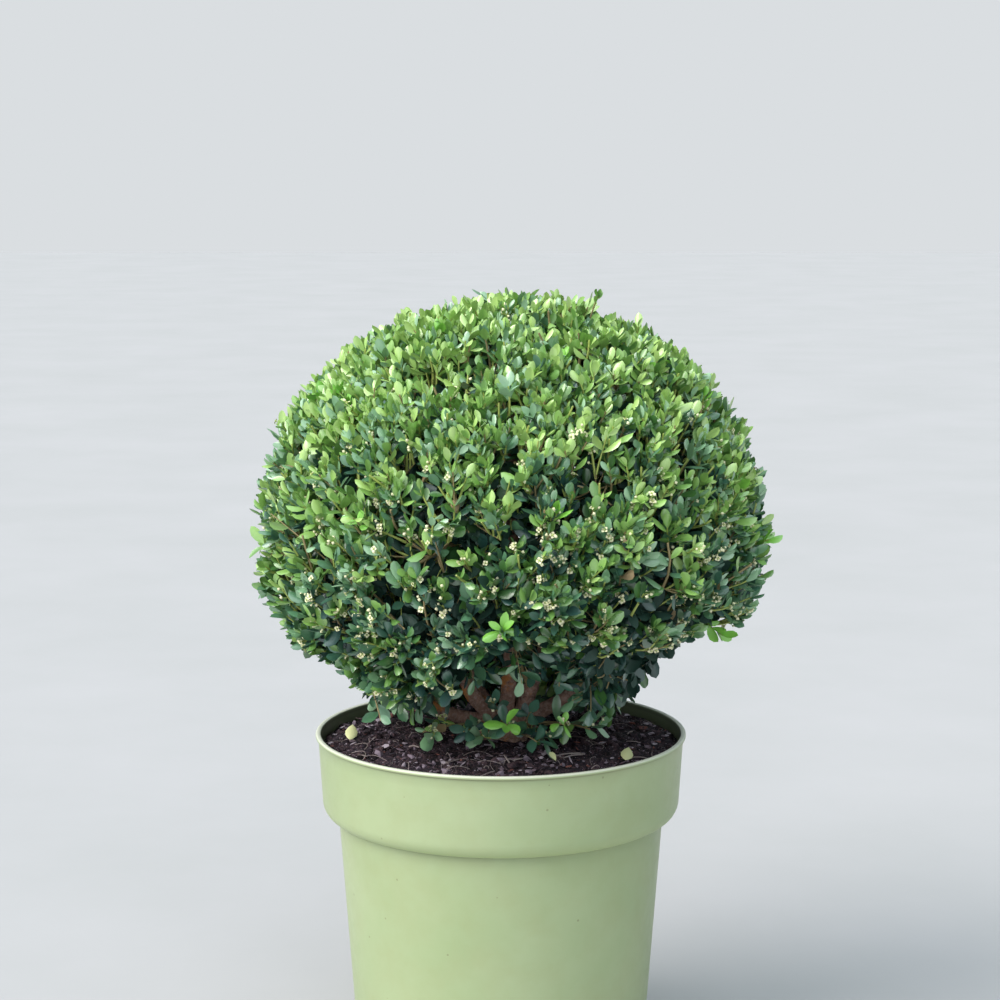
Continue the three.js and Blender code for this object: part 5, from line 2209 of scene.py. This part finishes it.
@dataclass(frozen=True)
class Studio:
    """A plain pale floor, soft lights and the photo's viewing angle."""

    eye: Triple = (-0.0006, -1.7748, 0.6875)
    pitch: float = 8.39
    lens: float = 86.4
    sensor: float = 36.0
    nearest: float = 0.05
    furthest: float = 60.0
    half_floor: float = 14.0
    suns: tuple = (
        ("key", (-0.95, -0.46, 0.8), 45.0, 3.25, (1.0, 0.955, 0.905)),
        ("top", (-0.1, -0.1, 1.0), 90.0, 1.8, (0.84, 0.94, 1.0)),
        ("front", (0.0, -1.0, 0.4), 70.0, 1.0, (0.92, 0.98, 1.0)),
    )

    def camera(self) -> None:
        """Sets up the camera at the photo's place."""
        data = bpy.data.cameras.new("camera")
        data.lens, data.sensor_width = self.lens, self.sensor
        data.clip_start, data.clip_end = self.nearest, self.furthest
        camera = new_object("camera", data)
        camera.location = self.eye
        camera.rotation_euler = Euler((math.radians(90 - self.pitch), 0, 0))
        bpy.context.scene.camera = camera

    def sun(self, name: str, towards: tuple, spread: float, power: float, colour: tuple) -> None:
        """Sets up a soft even light from one side.

        Args:
            name: The light's name.
            towards: The direction from the plant to the light.
            spread: How wide it looks from the plant, in degrees.
            power: Its power, in watts a square metre.
            colour: Its colour.
        """
        data = bpy.data.lights.new(name, "SUN")
        data.angle, data.energy, data.color = math.radians(spread), power, colour
        new_object(name, data).rotation_euler = Vector(towards).to_track_quat("Z", "Y").to_euler()

    def floor(self) -> None:
        """Lays the floor."""
        half = self.half_floor
        corners = np.array([(-half, -half, 0), (half, -half, 0), (half, half, 0), (-half, half, 0)], float)
        floor = new_object("floor", mesh_of("floor", corners, [(0, 1, 2, 3)]))
        surface = Surface("floor_pale", Roughness=0.7, Specular_IOR_Level=0.3)
        cloud = surface.mask(mottle(), Scale=3.0, Low=0.3, High=0.7)
        surface.feed(Base_Color=surface.graph.coats((178, 177, 178), (cloud, 1.0, (184, 182, 184))))
        floor.data.materials.append(surface.material)

    def world(self) -> None:
        """Sets up the even light from all round, pale where the camera sees past the floor."""
        world = bpy.data.worlds.new("studio")
        world.use_nodes = True
        graph = Graph(world.node_tree)
        seen = graph.add("ShaderNodeLightPath").outputs["Is Camera Ray"]
        colour = graph.blend(seen, (0.75, 0.88, 0.93, 1.0), linear((218, 222, 225)))
        background = world.node_tree.nodes["Background"]
        graph.feed(background.inputs["Color"], colour)
        graph.feed(background.inputs["Strength"], graph.between(seen, 0.0, 1.0, 0.45, 1.0))
        bpy.context.scene.world = world

    def build(self) -> None:
        """Builds the studio."""
        self.camera()
        self.floor()
        for sun in self.suns:
            self.sun(*sun)
        self.world()
        bpy.context.scene.view_settings.view_transform = "Standard"


def main() -> None:
    """Builds the studio and every piece of the plant."""
    logging.basicConfig(level=logging.INFO, format="%(message)s")
    Studio().build()
    skeleton, rule, pot = Skeleton(), GrowthRule(), Pot()
    rule.grow(skeleton)
    foliage = Foliage(skeleton)
    foliage.build(rule)
    LowSprays().build(foliage)
    Wood(skeleton).build()
    pot.build()
    Compost().build(pot, foliage)
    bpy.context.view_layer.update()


if __name__ == "__main__":
    main()
